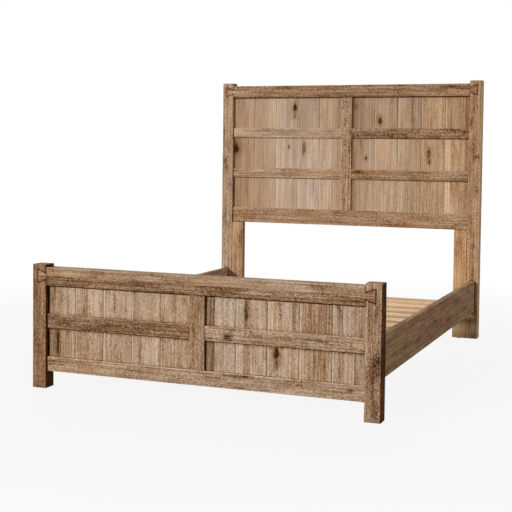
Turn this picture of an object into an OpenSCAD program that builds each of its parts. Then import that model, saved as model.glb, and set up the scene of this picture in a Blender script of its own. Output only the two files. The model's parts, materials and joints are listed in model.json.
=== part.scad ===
// Rustic panel bed frame: a board-and-batten headboard and footboard, joined by two hook-on
// side rails that carry a slat deck, a centre beam and its levelling support legs.
// Origin: centre of the floor rectangle. +X right seen from the foot, +Y towards the
// headboard, +Z up. Sizes in millimetres.

/* [Mattress] */
// Width of the mattress that the frame is built for
mattress_w = 1524; // [1370:1:1930]
// Length of the mattress
mattress_l = 2032; // [1900:1:2100]
// Play between the mattress and each side rail
side_play = 9; // [4:1:20]
// Play between the mattress and each end
end_play = 29; // [10:1:60]

/* [Posts] */
// Width of a post across the bed
post_w = 71; // [66:1:90]
// Depth of a post along the bed
post_d = 70; // [66:1:90]
// Chamfer on the long edges of the thick timbers
arris = 1.5; // [0.5:0.5:3]

/* [Footboard] */
// Height of the bottom rail's lower edge above the floor
foot_clearance = 81; // [60:1:120]
// Height of the footboard's bottom rail
foot_bottom_h = 67; // [55:1:90]
// Height of each visible field of boards in the footboard
foot_field_h = 131; // [110:1:180]
// Height of the footboard's mid rails
foot_mid_h = 64; // [50:1:80]
// Height of the footboard's top rail
foot_top_h = 82; // [74:1:100]
// How far the footboard's posts stand above its top rail
foot_ear = 13; // [8:1:30]
// Width of the footboard's centre stile
foot_stile_w = 71; // [55:1:90]

/* [Headboard] */
// Height of the headboard's bottom rail above the floor
head_clearance = 640; // [560:1:700]
// Height of the headboard's bottom rail
head_bottom_h = 94; // [70:1:120]
// Height of each visible field of boards in the headboard
head_field_h = 191; // [150:1:230]
// Height of the headboard's mid rails
head_mid_h = 60; // [50:1:80]
// Height of the headboard's top rail
head_top_h = 74; // [70:1:100]
// How far the headboard's posts stand above its top rail
head_ear = 17; // [8:1:30]
// Width of the headboard's centre stile
head_stile_w = 65; // [55:1:90]
// Width of the leg board beside each headboard post
leg_board_w = 77; // [50:1:110]
// Thickness of the leg boards
leg_board_t = 38; // [25:1:45]

/* [Panels] */
// How far stiles, mid rails and bottom rails sit behind the posts' front
frame_setback = 10.5; // [6:0.5:14]
// Thickness of the mid rails, which lie on the boards
mid_rail_t = 9.5; // [7:0.5:14]
// Thickness of the boards
board_t = 16; // [14:0.5:20]
// Thickness of rail and stile behind the boards
back_lip = 12; // [8:1:16]
// Number of boards in each field
boards_per_field = 5; // [3:1:5]
// Bevel on each board's edge, two of which make a V-groove
board_bevel = 2; // [1:0.5:4]
// Gap left between two boards for movement
board_gap = 0.4; // [0.2:0.1:1]
// Depth of the grooves that hold the boards in rails, stiles and posts
groove_d = 10; // [7:1:14]
// Room that each board keeps in its groove, on the sides and at the top
groove_room = 1.5; // [0.5:0.5:3]
// Thickness of the tongue on a board's edge
tongue_t = 5; // [4:0.5:6]
// Length of that tongue
tongue_l = 6; // [4:0.5:8]

/* [Joinery] */
// Length of the dovetail tail across the post's face
tail_l = 44; // [30:1:52]
// Height of the tail at its neck
tail_neck_h = 28; // [20:1:34]
// Height of the tail at its wide end
tail_end_h = 60; // [48:1:64]
// Depth of the tail's lap into the post's face
tail_d = 22; // [14:1:28]
// Length of the tenons on the top and bottom rails
tenon_l = 30; // [20:1:40]
// Thickness of the tenons
tenon_t = 16; // [10:1:18]
// Step from a rail's edges to its tenon
tenon_step = 14; // [10:1:18]
// Length of the short tenons on the mid rails
stub_l = 8; // [4:1:12]
// Step from a mid rail's edges to its short tenon
stub_step = 8; // [4:1:14]
// Wood left in front of the short tenons
stub_skin = 3.5; // [2:0.5:4]
// Clearance round tails and tenons
joint_gap = 0.3; // [0.1:0.1:0.6]

/* [Side rails] */
// Thickness of the side rails
rail_t = 28; // [24:1:36]
// Height of the side rails
rail_h = 184; // [165:1:230]
// Height of the side rails' lower edge above the floor
rail_z = 161; // [130:1:200]
// Distance from a post's outer face to the side rail's outer face
rail_inset = 21; // [8:1:30]
// Thickness of the cleat that carries the slats
cleat_t = 28; // [20:1:40]
// Height of the cleat
cleat_h = 32; // [24:1:45]
// Height of the cleat's lower edge above the rail's lower edge
cleat_rise = 12; // [6:1:30]
// Distance from the posts to each end of a cleat
cleat_end_gap = 20; // [5:1:40]

/* [Slats and beam] */
// Number of slats
slat_count = 12; // [10:1:14]
// Width of a slat
slat_w = 89; // [70:1:110]
// Thickness of a slat
slat_t = 19; // [16:1:25]
// Play between a slat's end and the side rail
slat_play = 3; // [1:1:8]
// Distance from the posts to the outer edge of the first and the last slat
slat_end_gap = 34; // [22:1:80]
// Distance from a slat's end to its screw
slat_screw_inset = 14; // [10:1:18]
// Thickness of the centre beam
beam_t = 38; // [32:1:45]
// Height of the centre beam
beam_h = 64; // [55:1:80]
// Distance from the posts to each end of the centre beam
beam_end_gap = 26; // [10:1:60]

/* [Support legs] */
// Distance from each end of the beam to the outer leg's middle
leg_inset = 299; // [120:1:420]
// Thickness of each cheek that holds the beam
leg_cheek = 16; // [12:1:24]
// Size of a support leg along the bed
leg_d = 45; // [38:1:60]
// How far the cheeks reach up the beam
leg_reach = 48; // [40:1:52]
// Height of the support leg's lower end above the floor
leg_rise = 30; // [26:1:36]
// Radius of the bolt through the cheeks
bolt_r = 4; // [3:0.5:5]
// Radius of the levelling foot's stem
stem_r = 5; // [4:0.5:6]
// Length of that stem above the hexagon
stem_l = 64; // [50:1:66]
// Radius of the levelling foot's pad
foot_pad_r = 20; // [14:1:28]
// Height of the pad
foot_pad_h = 8; // [5:1:10]
// Height of the hexagon on the pad
foot_hex_h = 6; // [4:1:8]

/* [Fittings] */
// Thickness of the steel hook plates and slot plates
plate_t = 3; // [2:0.5:4]
// Width of the plates
plate_w = 20; // [18:1:24]
// Height of the plates
plate_h = 150; // [146:1:158]
// Distance from a plate's end to its outer screw
plate_edge = 8; // [6:0.5:9]
// Distance between the two hooks of a plate
hook_pitch = 62; // [60:1:66]
// Length of a hook behind the slot plate
hook_reach = 8; // [5:1:12]
// Height of a hook's shank
hook_shank_h = 14; // [9:1:15]
// Drop of a hook below its shank
hook_drop = 12; // [8:1:13]
// Radius of the wood screws' shanks
screw_r = 2; // [1.5:0.1:2.5]
// Radius of the wood screws' heads
screw_head_r = 4; // [3.5:0.1:5]
// Length of the wood screws in the plates
plate_screw_l = 34; // [20:1:45]
// Radius of the floor glides
glide_r = 12; // [8:1:16]
// Thickness of the floor glides
glide_h = 3; // [2:0.5:5]
// Length of a glide's nail
nail_l = 16; // [10:1:25]

/* [Hidden] */
$fn = 40;

// Outline of the whole frame
inner_w = mattress_w + 2 * side_play;
bed_w = inner_w + 2 * rail_t + 2 * rail_inset;
inner_l = mattress_l + 2 * end_play;
bed_l = inner_l + 2 * post_d;
half_w = bed_w / 2;
post_x = half_w - post_w;          // inner face of the posts
rail_x = inner_w / 2;              // inner face of the side rails
foot_y = -bed_l / 2;               // front face of the footboard's posts
head_y = bed_l / 2 - post_d;       // front face of the headboard's posts
half_l = inner_l / 2;              // posts' faces that the side rails meet

// Layers of an end frame, counted back from the posts' front face
board_y = frame_setback + mid_rail_t;
board_back_y = board_y + board_t;
frame_back_y = board_back_y + back_lip;
tenon_y = board_y + (board_t - tenon_t) / 2;
top_tenon_y = tail_d + (post_d - tail_d - tenon_t) / 2;

// Levels of each end frame: [bottom rail, its height, field, mid rail, top rail, its height, post]
foot_mid_zs = [foot_clearance + foot_bottom_h + foot_field_h];
foot_top_z = foot_mid_zs[0] + foot_mid_h + foot_field_h;
foot_h = foot_top_z + foot_top_h + foot_ear;
head_mid_zs = [for (i = [0:1])
    head_clearance + head_bottom_h + head_field_h + i * (head_mid_h + head_field_h)];
head_top_z = head_mid_zs[1] + head_mid_h + head_field_h;
head_h = head_top_z + head_top_h + head_ear;

// Deck
cleat_z = rail_z + cleat_rise;
slat_z = cleat_z + cleat_h;
slat_l = inner_w - 2 * slat_play;
slat_pitch = (inner_l - 2 * slat_end_gap - slat_w) / (slat_count - 1);
slat_ys = [for (i = [0:slat_count - 1]) -half_l + slat_end_gap + slat_w / 2 + i * slat_pitch];
beam_z = slat_z - beam_h;
beam_l = inner_l - 2 * beam_end_gap;
cleat_l = inner_l - 2 * cleat_end_gap;
slat_screw_l = slat_t + 24;
cleat_screw_l = cleat_t + rail_t - 8;
cleat_screw_z = cleat_z + cleat_h / 2;
cleat_screw_ys = [for (i = [0:2:slat_count - 2]) (slat_ys[i] + slat_ys[i + 1]) / 2];

// Support legs and levelling feet
leg_w = beam_t + 2 * leg_cheek;
leg_top_z = beam_z + leg_reach;
bolt_z = beam_z + leg_reach / 2;
bolt_head_r = 2 * bolt_r;
bolt_head_h = bolt_r;
bolt_tail = 5;                     // thread beyond the nut
nut_r = 1.85 * bolt_r;
nut_h = 1.6 * bolt_r;
insert_flange_r = 2.2 * stem_r;
insert_flange_h = 1.5;
insert_r = stem_r + 2;
insert_l = 16;
thread_gap = 0.1;                  // running clearance of stem and insert
foot_hex_r = 1.9 * stem_r;
stem_room = 14;                    // hole above the stem's end
leg_names = ["foot", "middle", "head"];
leg_pitch = beam_l / 2 - leg_inset;
leg_ys = [-leg_pitch, 0, leg_pitch];

// Fittings
plate_x = rail_x + rail_t / 2;
plate_z = rail_z + rail_h / 2;
plate_fit = 0.3;                   // room round the plates and the hooks
hook_t = plate_t;
hook_top_room = 2;                 // slot above the hook as it drops in
slot_h = hook_shank_h + hook_drop + hook_top_room;
hook_zs = [for (i = [0:1])
    -plate_h / 2 + plate_edge + 2 * screw_head_r + hook_drop + i * hook_pitch];
screw_fit = 0.1;                   // room round the screws' shanks
screw_head_h = 2.6;
head_sink = 0.2;                   // screw heads sit this far below the faces
plate_screw_zs = [-plate_h / 2 + plate_edge,
    (hook_zs[0] + slot_h + hook_zs[1] - hook_drop) / 2, plate_h / 2 - plate_edge];
pocket_room = 1;                   // room round a hook in the post
nail_r = 1.2;
glide_post_ys = [foot_y + post_d / 2, head_y + post_d / 2];
leg_board_x = post_x - leg_board_w / 2;
glide_spots = concat(
    [for (y = glide_post_ys) [half_w - post_w / 2, y]],
    [[leg_board_x, head_y + leg_board_t / 2]]);

post_color = "#9b7a59";
rail_color = "#a5835f";
board_color = "#b3926c";
deck_color = "#c9ab7c";
steel_color = "#8d9094";
nylon_color = "#3a3632";

// ---------- timbers ----------

// Section of a timber with its corners chamfered
module section(w, h) {
    polygon([[arris, 0], [w - arris, 0], [w, arris], [w, h - arris],
             [w - arris, h], [arris, h], [0, h - arris], [0, arris]]);
}

// Upright timber: x by y section, length along Z
module upright(x, y, z) {
    linear_extrude(z) section(x, y);
}

// Timber along X
module crosswise(x, y, z) {
    rotate([90, 0, 90]) linear_extrude(x) section(y, z);
}

// Timber along Y
module lengthwise(x, y, z) {
    translate([0, y, 0]) rotate([90, 0, 0]) linear_extrude(y) section(x, z);
}

// Both sides of the bed: the children at +X and their mirror image
module both_sides() {
    children();
    mirror([1, 0, 0]) children();
}

// The children once for each end, the second turned to face the other way along Y
module both_ends() {
    children();
    mirror([0, 1, 0]) children();
}

// Countersunk wood screw pointing down -Z, its head just below the face at the origin
module wood_screw(length) {
    translate([0, 0, -head_sink]) rotate([180, 0, 0]) rotate_extrude()
        polygon([[0, 0], [screw_head_r, 0], [screw_r, screw_head_h],
                 [screw_r, length - 2 * screw_r], [0, length]]);
}

// Hole for that screw
module screw_hole(length) {
    rotate([180, 0, 0]) rotate_extrude()
        polygon([[0, -1], [screw_head_r + screw_fit, -1], [screw_head_r + screw_fit, head_sink],
                 [screw_r + screw_fit, screw_head_h + head_sink],
                 [screw_r + screw_fit, length + 1], [0, length + 1]]);
}

// ---------- end frames ----------

// Dovetail at the right end of a top rail. Its shoulder lies at X = 0.
module tail(rail_height, room) {
    rotate([90, 0, 0]) translate([0, rail_height / 2, -tail_d]) linear_extrude(tail_d + room)
        polygon([[-room, -tail_neck_h / 2 - room], [tail_l + room, -tail_end_h / 2 - room],
                 [tail_l + room, tail_end_h / 2 + room], [-room, tail_neck_h / 2 + room]]);
}

// Tenon that reaches from X = 0 to its length
module tenon(length, y, height, step, room) {
    translate([-room, y - room, step - room])
        cube([length + 2 * room, tenon_t + 2 * room, height - 2 * step + 2 * room]);
}

// Short tenon of a mid rail
module stub(height, room) {
    translate([-room, frame_setback + stub_skin - room, stub_step - room])
        cube([stub_l + 2 * room, mid_rail_t - stub_skin + room,
              height - 2 * stub_step + 2 * room]);
}

// Post at the right, with its front face at Y = 0
module end_post(height, bottom_z, bottom_h, mid_zs, mid_h, top_z, top_h) {
    difference() {
        translate([post_x, 0, glide_h]) upright(post_w, post_d, height - glide_h);
        translate([post_x, 0, top_z]) tail(top_h, joint_gap);
        translate([post_x, 0, top_z]) tenon(tenon_l, top_tenon_y, top_h, tenon_step, joint_gap);
        translate([post_x, 0, bottom_z])
            tenon(tenon_l, tenon_y, bottom_h, tenon_step, joint_gap);
        for (z = mid_zs) translate([post_x, 0, z]) stub(mid_h, joint_gap);
        translate([post_x - 1, board_y, bottom_z + bottom_h - groove_d])
            cube([groove_d + 1, board_t, top_z - bottom_z - bottom_h + 2 * groove_d]);
        translate([half_w - post_w / 2, post_d / 2, glide_h]) nail_hole();
    }
}

// Top rail from post to post, grooved below for the boards
module end_top_rail(height) {
    difference() {
        union() {
            translate([-post_x, 0, 0]) crosswise(2 * post_x, post_d, height);
            both_sides() translate([post_x, 0, 0]) {
                tail(height, 0);
                tenon(tenon_l, top_tenon_y, height, tenon_step, 0);
            }
        }
        translate([-post_x - 1, board_y, -1]) cube([2 * post_x + 2, board_t, groove_d + 1]);
    }
}

// Bottom rail from post to post, grooved above for the boards
module end_bottom_rail(height) {
    difference() {
        union() {
            translate([-post_x, frame_setback, 0])
                crosswise(2 * post_x, frame_back_y - frame_setback, height);
            both_sides() translate([post_x, 0, 0]) tenon(tenon_l, tenon_y, height, tenon_step, 0);
        }
        translate([-post_x - 1, board_y, height - groove_d])
            cube([2 * post_x + 2, board_t, groove_d + 1]);
    }
}

// Centre stile between the rails, grooved on both sides, tenoned into both rails' grooves
module end_stile(width, height, mid_zs, mid_h) {
    tongue_w = width - 2 * groove_d;
    difference() {
        union() {
            translate([-width / 2, frame_setback, 0])
                upright(width, frame_back_y - frame_setback, height);
            translate([-tongue_w / 2, board_y, -groove_d])
                cube([tongue_w, board_t, height + 2 * groove_d]);
        }
        both_sides() {
            translate([width / 2 - groove_d, board_y, -1]) cube([groove_d + 1, board_t, height + 2]);
            for (z = mid_zs) translate([width / 2, 0, z]) mirror([1, 0, 0]) stub(mid_h, joint_gap);
        }
    }
}

// Mid rail on the right, on the boards' front, from the stile to the post
module end_mid_rail(stile_w, height) {
    length = post_x - stile_w / 2;
    translate([stile_w / 2, frame_setback, 0]) cube([length, mid_rail_t, height]);
    translate([post_x, 0, 0]) stub(height, 0);
    translate([stile_w / 2, 0, 0]) mirror([1, 0, 0]) stub(height, 0);
}

// Section of one board. Its left edge is grooved and its right edge has a tongue,
// except that an edge at a field's side is plain and reaches into the frame.
module board_section(x0, x1, first, last) {
    b = board_bevel;
    mid = board_y + board_t / 2;
    tt = tongue_t / 2;
    gt = tt + board_gap;
    gl = tongue_l + board_gap;
    reach = groove_d - groove_room;
    left = first
        ? [[x0 - reach, board_back_y], [x0 - reach, board_y]]
        : [[x0, board_back_y], [x0, mid + gt], [x0 + gl, mid + gt],
           [x0 + gl, mid - gt], [x0, mid - gt], [x0, board_y + b], [x0 + b, board_y]];
    right = last
        ? [[x1 + reach, board_y], [x1 + reach, board_back_y]]
        : [[x1 - b, board_y], [x1, board_y + b], [x1, mid - tt], [x1 + tongue_l, mid - tt],
           [x1 + tongue_l, mid + tt], [x1, mid + tt], [x1, board_back_y]];
    polygon(concat(left, right));
}

// Board number i, counted from the left across both fields
module end_board(i, stile_w, z0, z1) {
    field = i <= boards_per_field ? -1 : 1;
    k = (i - 1) % boards_per_field;
    field_w = post_x - stile_w / 2;
    start = field < 0 ? -post_x : stile_w / 2;
    width = field_w / boards_per_field;
    first = k == 0;
    last = k == boards_per_field - 1;
    x0 = start + k * width + (first ? 0 : board_gap / 2);
    x1 = start + (k + 1) * width - (last ? 0 : board_gap / 2);
    translate([0, 0, z0 - groove_d]) linear_extrude(z1 - z0 + 2 * groove_d - groove_room)
        board_section(x0, x1, first, last);
}

// ---------- headboard ----------

module headboard_post_right() {
    color(post_color) difference() {
        translate([0, head_y, 0])
            end_post(head_h, head_clearance, head_bottom_h, head_mid_zs, head_mid_h,
                     head_top_z, head_top_h);
        post_fitting_cuts();
    }
}

module headboard_post_left() {
    mirror([1, 0, 0]) headboard_post_right();
}

module headboard_top_rail() {
    color(rail_color) translate([0, head_y, head_top_z]) end_top_rail(head_top_h);
}

module headboard_bottom_rail() {
    color(rail_color) translate([0, head_y, head_clearance]) end_bottom_rail(head_bottom_h);
}

module headboard_center_stile() {
    z = head_clearance + head_bottom_h;
    color(post_color) translate([0, head_y, z])
        end_stile(head_stile_w, head_top_z - z, [for (m = head_mid_zs) m - z], head_mid_h);
}

// row is 0 for the lower mid rails and 1 for the upper ones, side is -1 or 1
module headboard_mid_rail(row, side) {
    color(rail_color) mirror([side < 0 ? 1 : 0, 0, 0])
        translate([0, head_y, head_mid_zs[row]]) end_mid_rail(head_stile_w, head_mid_h);
}

module headboard_board(i) {
    color(board_color) translate([0, head_y, 0])
        end_board(i, head_stile_w, head_clearance + head_bottom_h, head_top_z);
}

// Leg board beside the right post, under the bottom rail
module headboard_leg_board() {
    color(post_color) difference() {
        translate([post_x - leg_board_w, head_y, glide_h])
            upright(leg_board_w, leg_board_t, head_clearance - glide_h);
        translate([leg_board_x, head_y + leg_board_t / 2, glide_h]) nail_hole();
    }
}

// ---------- footboard ----------

module footboard_post_right() {
    color(post_color) difference() {
        translate([0, foot_y, 0])
            end_post(foot_h, foot_clearance, foot_bottom_h, foot_mid_zs, foot_mid_h,
                     foot_top_z, foot_top_h);
        mirror([0, 1, 0]) post_fitting_cuts();
    }
}

module footboard_post_left() {
    mirror([1, 0, 0]) footboard_post_right();
}

module footboard_top_rail() {
    color(rail_color) translate([0, foot_y, foot_top_z]) end_top_rail(foot_top_h);
}

module footboard_bottom_rail() {
    color(rail_color) translate([0, foot_y, foot_clearance]) end_bottom_rail(foot_bottom_h);
}

module footboard_center_stile() {
    z = foot_clearance + foot_bottom_h;
    color(post_color) translate([0, foot_y, z])
        end_stile(foot_stile_w, foot_top_z - z, [for (m = foot_mid_zs) m - z], foot_mid_h);
}

module footboard_mid_rail(side) {
    color(rail_color) mirror([side < 0 ? 1 : 0, 0, 0])
        translate([0, foot_y, foot_mid_zs[0]]) end_mid_rail(foot_stile_w, foot_mid_h);
}

module footboard_board(i) {
    color(board_color) translate([0, foot_y, 0])
        end_board(i, foot_stile_w, foot_clearance + foot_bottom_h, foot_top_z);
}

// ---------- side rails and deck ----------

// Right side rail, with its ends recessed for the hook plates
module side_rail() {
    color(rail_color) difference() {
        translate([rail_x, -half_l, rail_z]) lengthwise(rail_t, inner_l, rail_h);
        both_ends() {
            translate([plate_x, half_l - plate_t, plate_z])
                plate_blank(plate_w + 2 * plate_fit, plate_h + 2 * plate_fit, plate_t + 1);
            for (z = plate_screw_zs)
                translate([plate_x, half_l, plate_z + z])
                    rotate([-90, 0, 0]) screw_hole(plate_screw_l);
        }
        cleat_screw_spots() screw_hole(cleat_screw_l);
    }
}

// Right cleat on the side rail's inner face
module slat_cleat() {
    color(deck_color) difference() {
        translate([rail_x - cleat_t, -cleat_l / 2, cleat_z]) cube([cleat_t, cleat_l, cleat_h]);
        cleat_screw_spots() screw_hole(cleat_screw_l);
        for (y = slat_ys) translate([slat_screw_x(), y, slat_z + slat_t]) screw_hole(slat_screw_l);
    }
}

// Place of the screw at a slat's end
function slat_screw_x() = slat_l / 2 - slat_screw_inset;

// The children at each screw of the right cleat, pointing outwards
module cleat_screw_spots() {
    for (y = cleat_screw_ys)
        translate([rail_x - cleat_t, y, cleat_screw_z]) rotate([0, -90, 0]) children();
}

// The children at each screw of the slats
module slat_screw_spots() {
    for (y = slat_ys) for (x = [-slat_screw_x(), 0, slat_screw_x()])
        translate([x, y, slat_z + slat_t]) children();
}

module slats() {
    color(deck_color) difference() {
        for (y = slat_ys)
            translate([-slat_l / 2, y - slat_w / 2, slat_z]) cube([slat_l, slat_w, slat_t]);
        slat_screw_spots() screw_hole(slat_screw_l);
    }
}

module center_beam() {
    color(deck_color) difference() {
        translate([-beam_t / 2, -beam_l / 2, beam_z]) cube([beam_t, beam_l, beam_h]);
        for (y = slat_ys) translate([0, y, slat_z + slat_t]) screw_hole(slat_screw_l);
        for (y = leg_ys) translate([0, y, bolt_z]) bolt_hole();
    }
}

// ---------- support legs ----------

// Hole through leg and beam for the bolt, along X
module bolt_hole() {
    rotate([0, 90, 0]) cylinder(r = bolt_r + screw_fit, h = leg_w + 2, center = true);
}

// Support leg with a slot that holds the beam
module support_leg(y) {
    color(deck_color) difference() {
        translate([-leg_w / 2, y - leg_d / 2, leg_rise]) upright(leg_w, leg_d, leg_top_z - leg_rise);
        translate([-beam_t / 2, y - leg_d / 2 - 1, beam_z]) cube([beam_t, leg_d + 2, leg_reach + 1]);
        translate([0, y, bolt_z]) bolt_hole();
        translate([0, y, leg_rise - 1])
            cylinder(r = insert_r + screw_fit, h = insert_l + 1);
        translate([0, y, leg_rise - 1])
            cylinder(r = stem_r + 1, h = stem_l + stem_room + 1 - stem_below());
        translate([0, y, leg_rise - 1])
            cylinder(r = insert_flange_r + screw_fit, h = insert_flange_h + 1);
    }
}

// Part of the stem that shows between the hexagon and the leg
function stem_below() = leg_rise - foot_pad_h - foot_hex_h;

// Threaded inserts in the legs' lower ends
module leg_inserts() {
    color(steel_color) for (y = leg_ys) translate([0, y, leg_rise]) difference() {
        union() {
            cylinder(r = insert_flange_r, h = insert_flange_h);
            cylinder(r = insert_r, h = insert_l);
        }
        translate([0, 0, -1]) cylinder(r = stem_r + thread_gap, h = insert_l + 2);
    }
}

// Levelling foot: pad, hexagon and stem
module leveling_foot(y) {
    color(nylon_color) translate([0, y, 0]) {
        cylinder(r1 = foot_pad_r, r2 = foot_pad_r - 2, h = foot_pad_h);
        translate([0, 0, foot_pad_h]) cylinder(r = foot_hex_r, h = foot_hex_h, $fn = 6);
        cylinder(r = stem_r, h = foot_pad_h + foot_hex_h + stem_l);
    }
}

// Round-headed bolts through the legs, head at the left
module leg_bolts() {
    color(steel_color) for (y = leg_ys) translate([-leg_w / 2, y, bolt_z]) rotate([0, 90, 0]) {
        translate([0, 0, -bolt_head_h]) cylinder(r1 = bolt_head_r * 0.7, r2 = bolt_head_r, h = bolt_head_h);
        cylinder(r = bolt_r, h = leg_w + nut_h + bolt_tail);
    }
}

module leg_nuts() {
    color(steel_color) for (y = leg_ys) translate([leg_w / 2, y, bolt_z]) rotate([0, 90, 0])
        difference() {
            cylinder(r = nut_r, h = nut_h, $fn = 6);
            translate([0, 0, -1]) cylinder(r = bolt_r + screw_fit, h = nut_h + 2);
        }
}

// ---------- fittings ----------

// Flat plate standing across Y, with its near face at Y = 0
module plate_blank(width, height, thickness) {
    translate([-width / 2, 0, -height / 2]) cube([width, thickness, height]);
}

// Profile of one hook: out through the slot and down behind the plate
module hook() {
    out = plate_t + plate_fit;
    rotate([90, 0, 90]) translate([0, 0, -hook_t / 2]) linear_extrude(hook_t)
        polygon([[-1, 0], [out, 0], [out, -hook_drop], [out + hook_reach, -hook_drop],
                 [out + hook_reach, hook_shank_h], [-1, hook_shank_h]]);
}

// Hook plates in the rails' ends, facing the posts
module rail_hook_plates() {
    color(steel_color) both_ends() both_sides()
        translate([plate_x, half_l, plate_z]) difference() {
            union() {
                translate([0, -plate_t, 0]) plate_blank(plate_w, plate_h, plate_t);
                for (z = hook_zs) translate([0, 0, z]) hook();
            }
            for (z = plate_screw_zs)
                translate([0, 0, z]) rotate([-90, 0, 0]) screw_hole(plate_screw_l);
        }
}

// Slot plates in the posts' faces, which the hooks drop into
module post_slot_plates() {
    color(steel_color) both_ends() both_sides()
        translate([plate_x, half_l, plate_z]) difference() {
            plate_blank(plate_w, plate_h, plate_t);
            for (z = hook_zs)
                translate([-hook_t / 2 - plate_fit, -1, z])
                    cube([hook_t + 2 * plate_fit, plate_t + 2, slot_h]);
            for (z = plate_screw_zs)
                translate([0, 0, z]) rotate([90, 0, 0]) screw_hole(plate_screw_l);
        }
}

// Recess for the slot plate, pockets for the hooks and screw holes in the right headboard post
module post_fitting_cuts() {
    translate([plate_x, half_l, plate_z]) {
        translate([0, -1, 0])
            plate_blank(plate_w + 2 * plate_fit, plate_h + 2 * plate_fit, plate_t + 1);
        for (z = hook_zs)
            translate([-hook_t / 2 - pocket_room, 0, z - hook_drop - pocket_room])
                cube([hook_t + 2 * pocket_room, plate_t + plate_fit + hook_reach + pocket_room,
                      hook_drop + pocket_room + slot_h]);
        for (z = plate_screw_zs)
            translate([0, 0, z]) rotate([90, 0, 0]) screw_hole(plate_screw_l);
    }
}

// Screws of the hook plates and the slot plates
module plate_screws() {
    color(steel_color) both_ends() both_sides() for (z = plate_screw_zs)
        translate([plate_x, half_l, plate_z + z]) {
            rotate([-90, 0, 0]) wood_screw(plate_screw_l);
            rotate([90, 0, 0]) wood_screw(plate_screw_l);
        }
}

module slat_screws() {
    color(steel_color) slat_screw_spots() wood_screw(slat_screw_l);
}

module cleat_screws() {
    color(steel_color) both_sides() cleat_screw_spots() wood_screw(cleat_screw_l);
}

// Hole for a glide's nail, upwards
module nail_hole() {
    translate([0, 0, -1]) cylinder(r = nail_r + screw_fit, h = nail_l + 2);
}

// Nail-on glides under the posts and the leg boards
module floor_glides() {
    color(nylon_color) both_sides() for (spot = glide_spots) translate([spot[0], spot[1], 0]) {
        cylinder(r = glide_r, h = glide_h);
        cylinder(r = nail_r, h = glide_h + nail_l);
    }
}

// ---------- parts ----------

headboard_post_left();
headboard_post_right();
headboard_top_rail();
headboard_bottom_rail();
headboard_center_stile();
mirror([1, 0, 0]) headboard_leg_board();  // headboard_leg_board_left
headboard_leg_board();  // headboard_leg_board_right
headboard_mid_rail(0, -1);  // headboard_mid_rail_lower_left
headboard_mid_rail(0, 1);  // headboard_mid_rail_lower_right
headboard_mid_rail(1, -1);  // headboard_mid_rail_upper_left
headboard_mid_rail(1, 1);  // headboard_mid_rail_upper_right
for (i = [1:2 * boards_per_field])
    headboard_board(i);
footboard_post_left();
footboard_post_right();
footboard_top_rail();
footboard_bottom_rail();
footboard_center_stile();
footboard_mid_rail(-1);  // footboard_mid_rail_left
footboard_mid_rail(1);  // footboard_mid_rail_right
for (i = [1:2 * boards_per_field])
    footboard_board(i);
mirror([1, 0, 0]) side_rail();  // side_rail_left
side_rail();  // side_rail_right
mirror([1, 0, 0]) slat_cleat();  // slat_cleat_left
slat_cleat();  // slat_cleat_right
slats();
center_beam();
for (i = [0:2])
    support_leg(leg_ys[i]);
for (i = [0:2])
    leveling_foot(leg_ys[i]);
leg_inserts();
leg_bolts();
leg_nuts();
rail_hook_plates();
post_slot_plates();
plate_screws();
slat_screws();
cleat_screws();
floor_glides();
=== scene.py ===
"""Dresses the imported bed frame: worn timbers, boards, slat deck, fittings, light and camera."""

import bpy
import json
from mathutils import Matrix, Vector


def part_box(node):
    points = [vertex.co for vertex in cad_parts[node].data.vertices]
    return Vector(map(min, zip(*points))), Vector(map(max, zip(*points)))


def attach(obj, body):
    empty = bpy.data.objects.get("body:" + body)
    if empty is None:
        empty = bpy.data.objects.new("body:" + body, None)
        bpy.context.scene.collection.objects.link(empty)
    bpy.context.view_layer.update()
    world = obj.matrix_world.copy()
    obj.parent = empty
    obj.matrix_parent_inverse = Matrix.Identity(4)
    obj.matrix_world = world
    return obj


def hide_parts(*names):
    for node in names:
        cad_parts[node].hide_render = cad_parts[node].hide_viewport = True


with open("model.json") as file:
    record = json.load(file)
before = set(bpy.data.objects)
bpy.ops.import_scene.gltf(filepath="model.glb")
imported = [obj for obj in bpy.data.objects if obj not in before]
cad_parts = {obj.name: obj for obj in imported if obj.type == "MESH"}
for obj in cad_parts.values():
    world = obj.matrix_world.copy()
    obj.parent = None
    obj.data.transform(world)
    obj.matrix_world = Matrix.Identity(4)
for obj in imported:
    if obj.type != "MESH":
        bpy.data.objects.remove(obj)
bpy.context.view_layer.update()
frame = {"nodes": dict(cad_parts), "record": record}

import json
import math

import bmesh
import bpy
import numpy as np
from bpy.props import FloatProperty, FloatVectorProperty, IntProperty, PointerProperty
from mathutils import Matrix, Vector
from mathutils.bvhtree import BVHTree

bl_info = {
    "name": "Rustic Panel Bed Frame",
    "version": (1, 0, 0),
    "blender": (4, 5, 0),
    "location": "3D View > Sidebar > Bed Frame",
    "description": "Builds the finished timbers, boards, deck and fittings of a rustic panel bed",
    "category": "Object",
}

X, Y, Z = 0, 1, 2
BODY_OF = {node: body for body, nodes in
           frame["record"]["behaviour"]["bodies"].items() for node in nodes}

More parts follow.
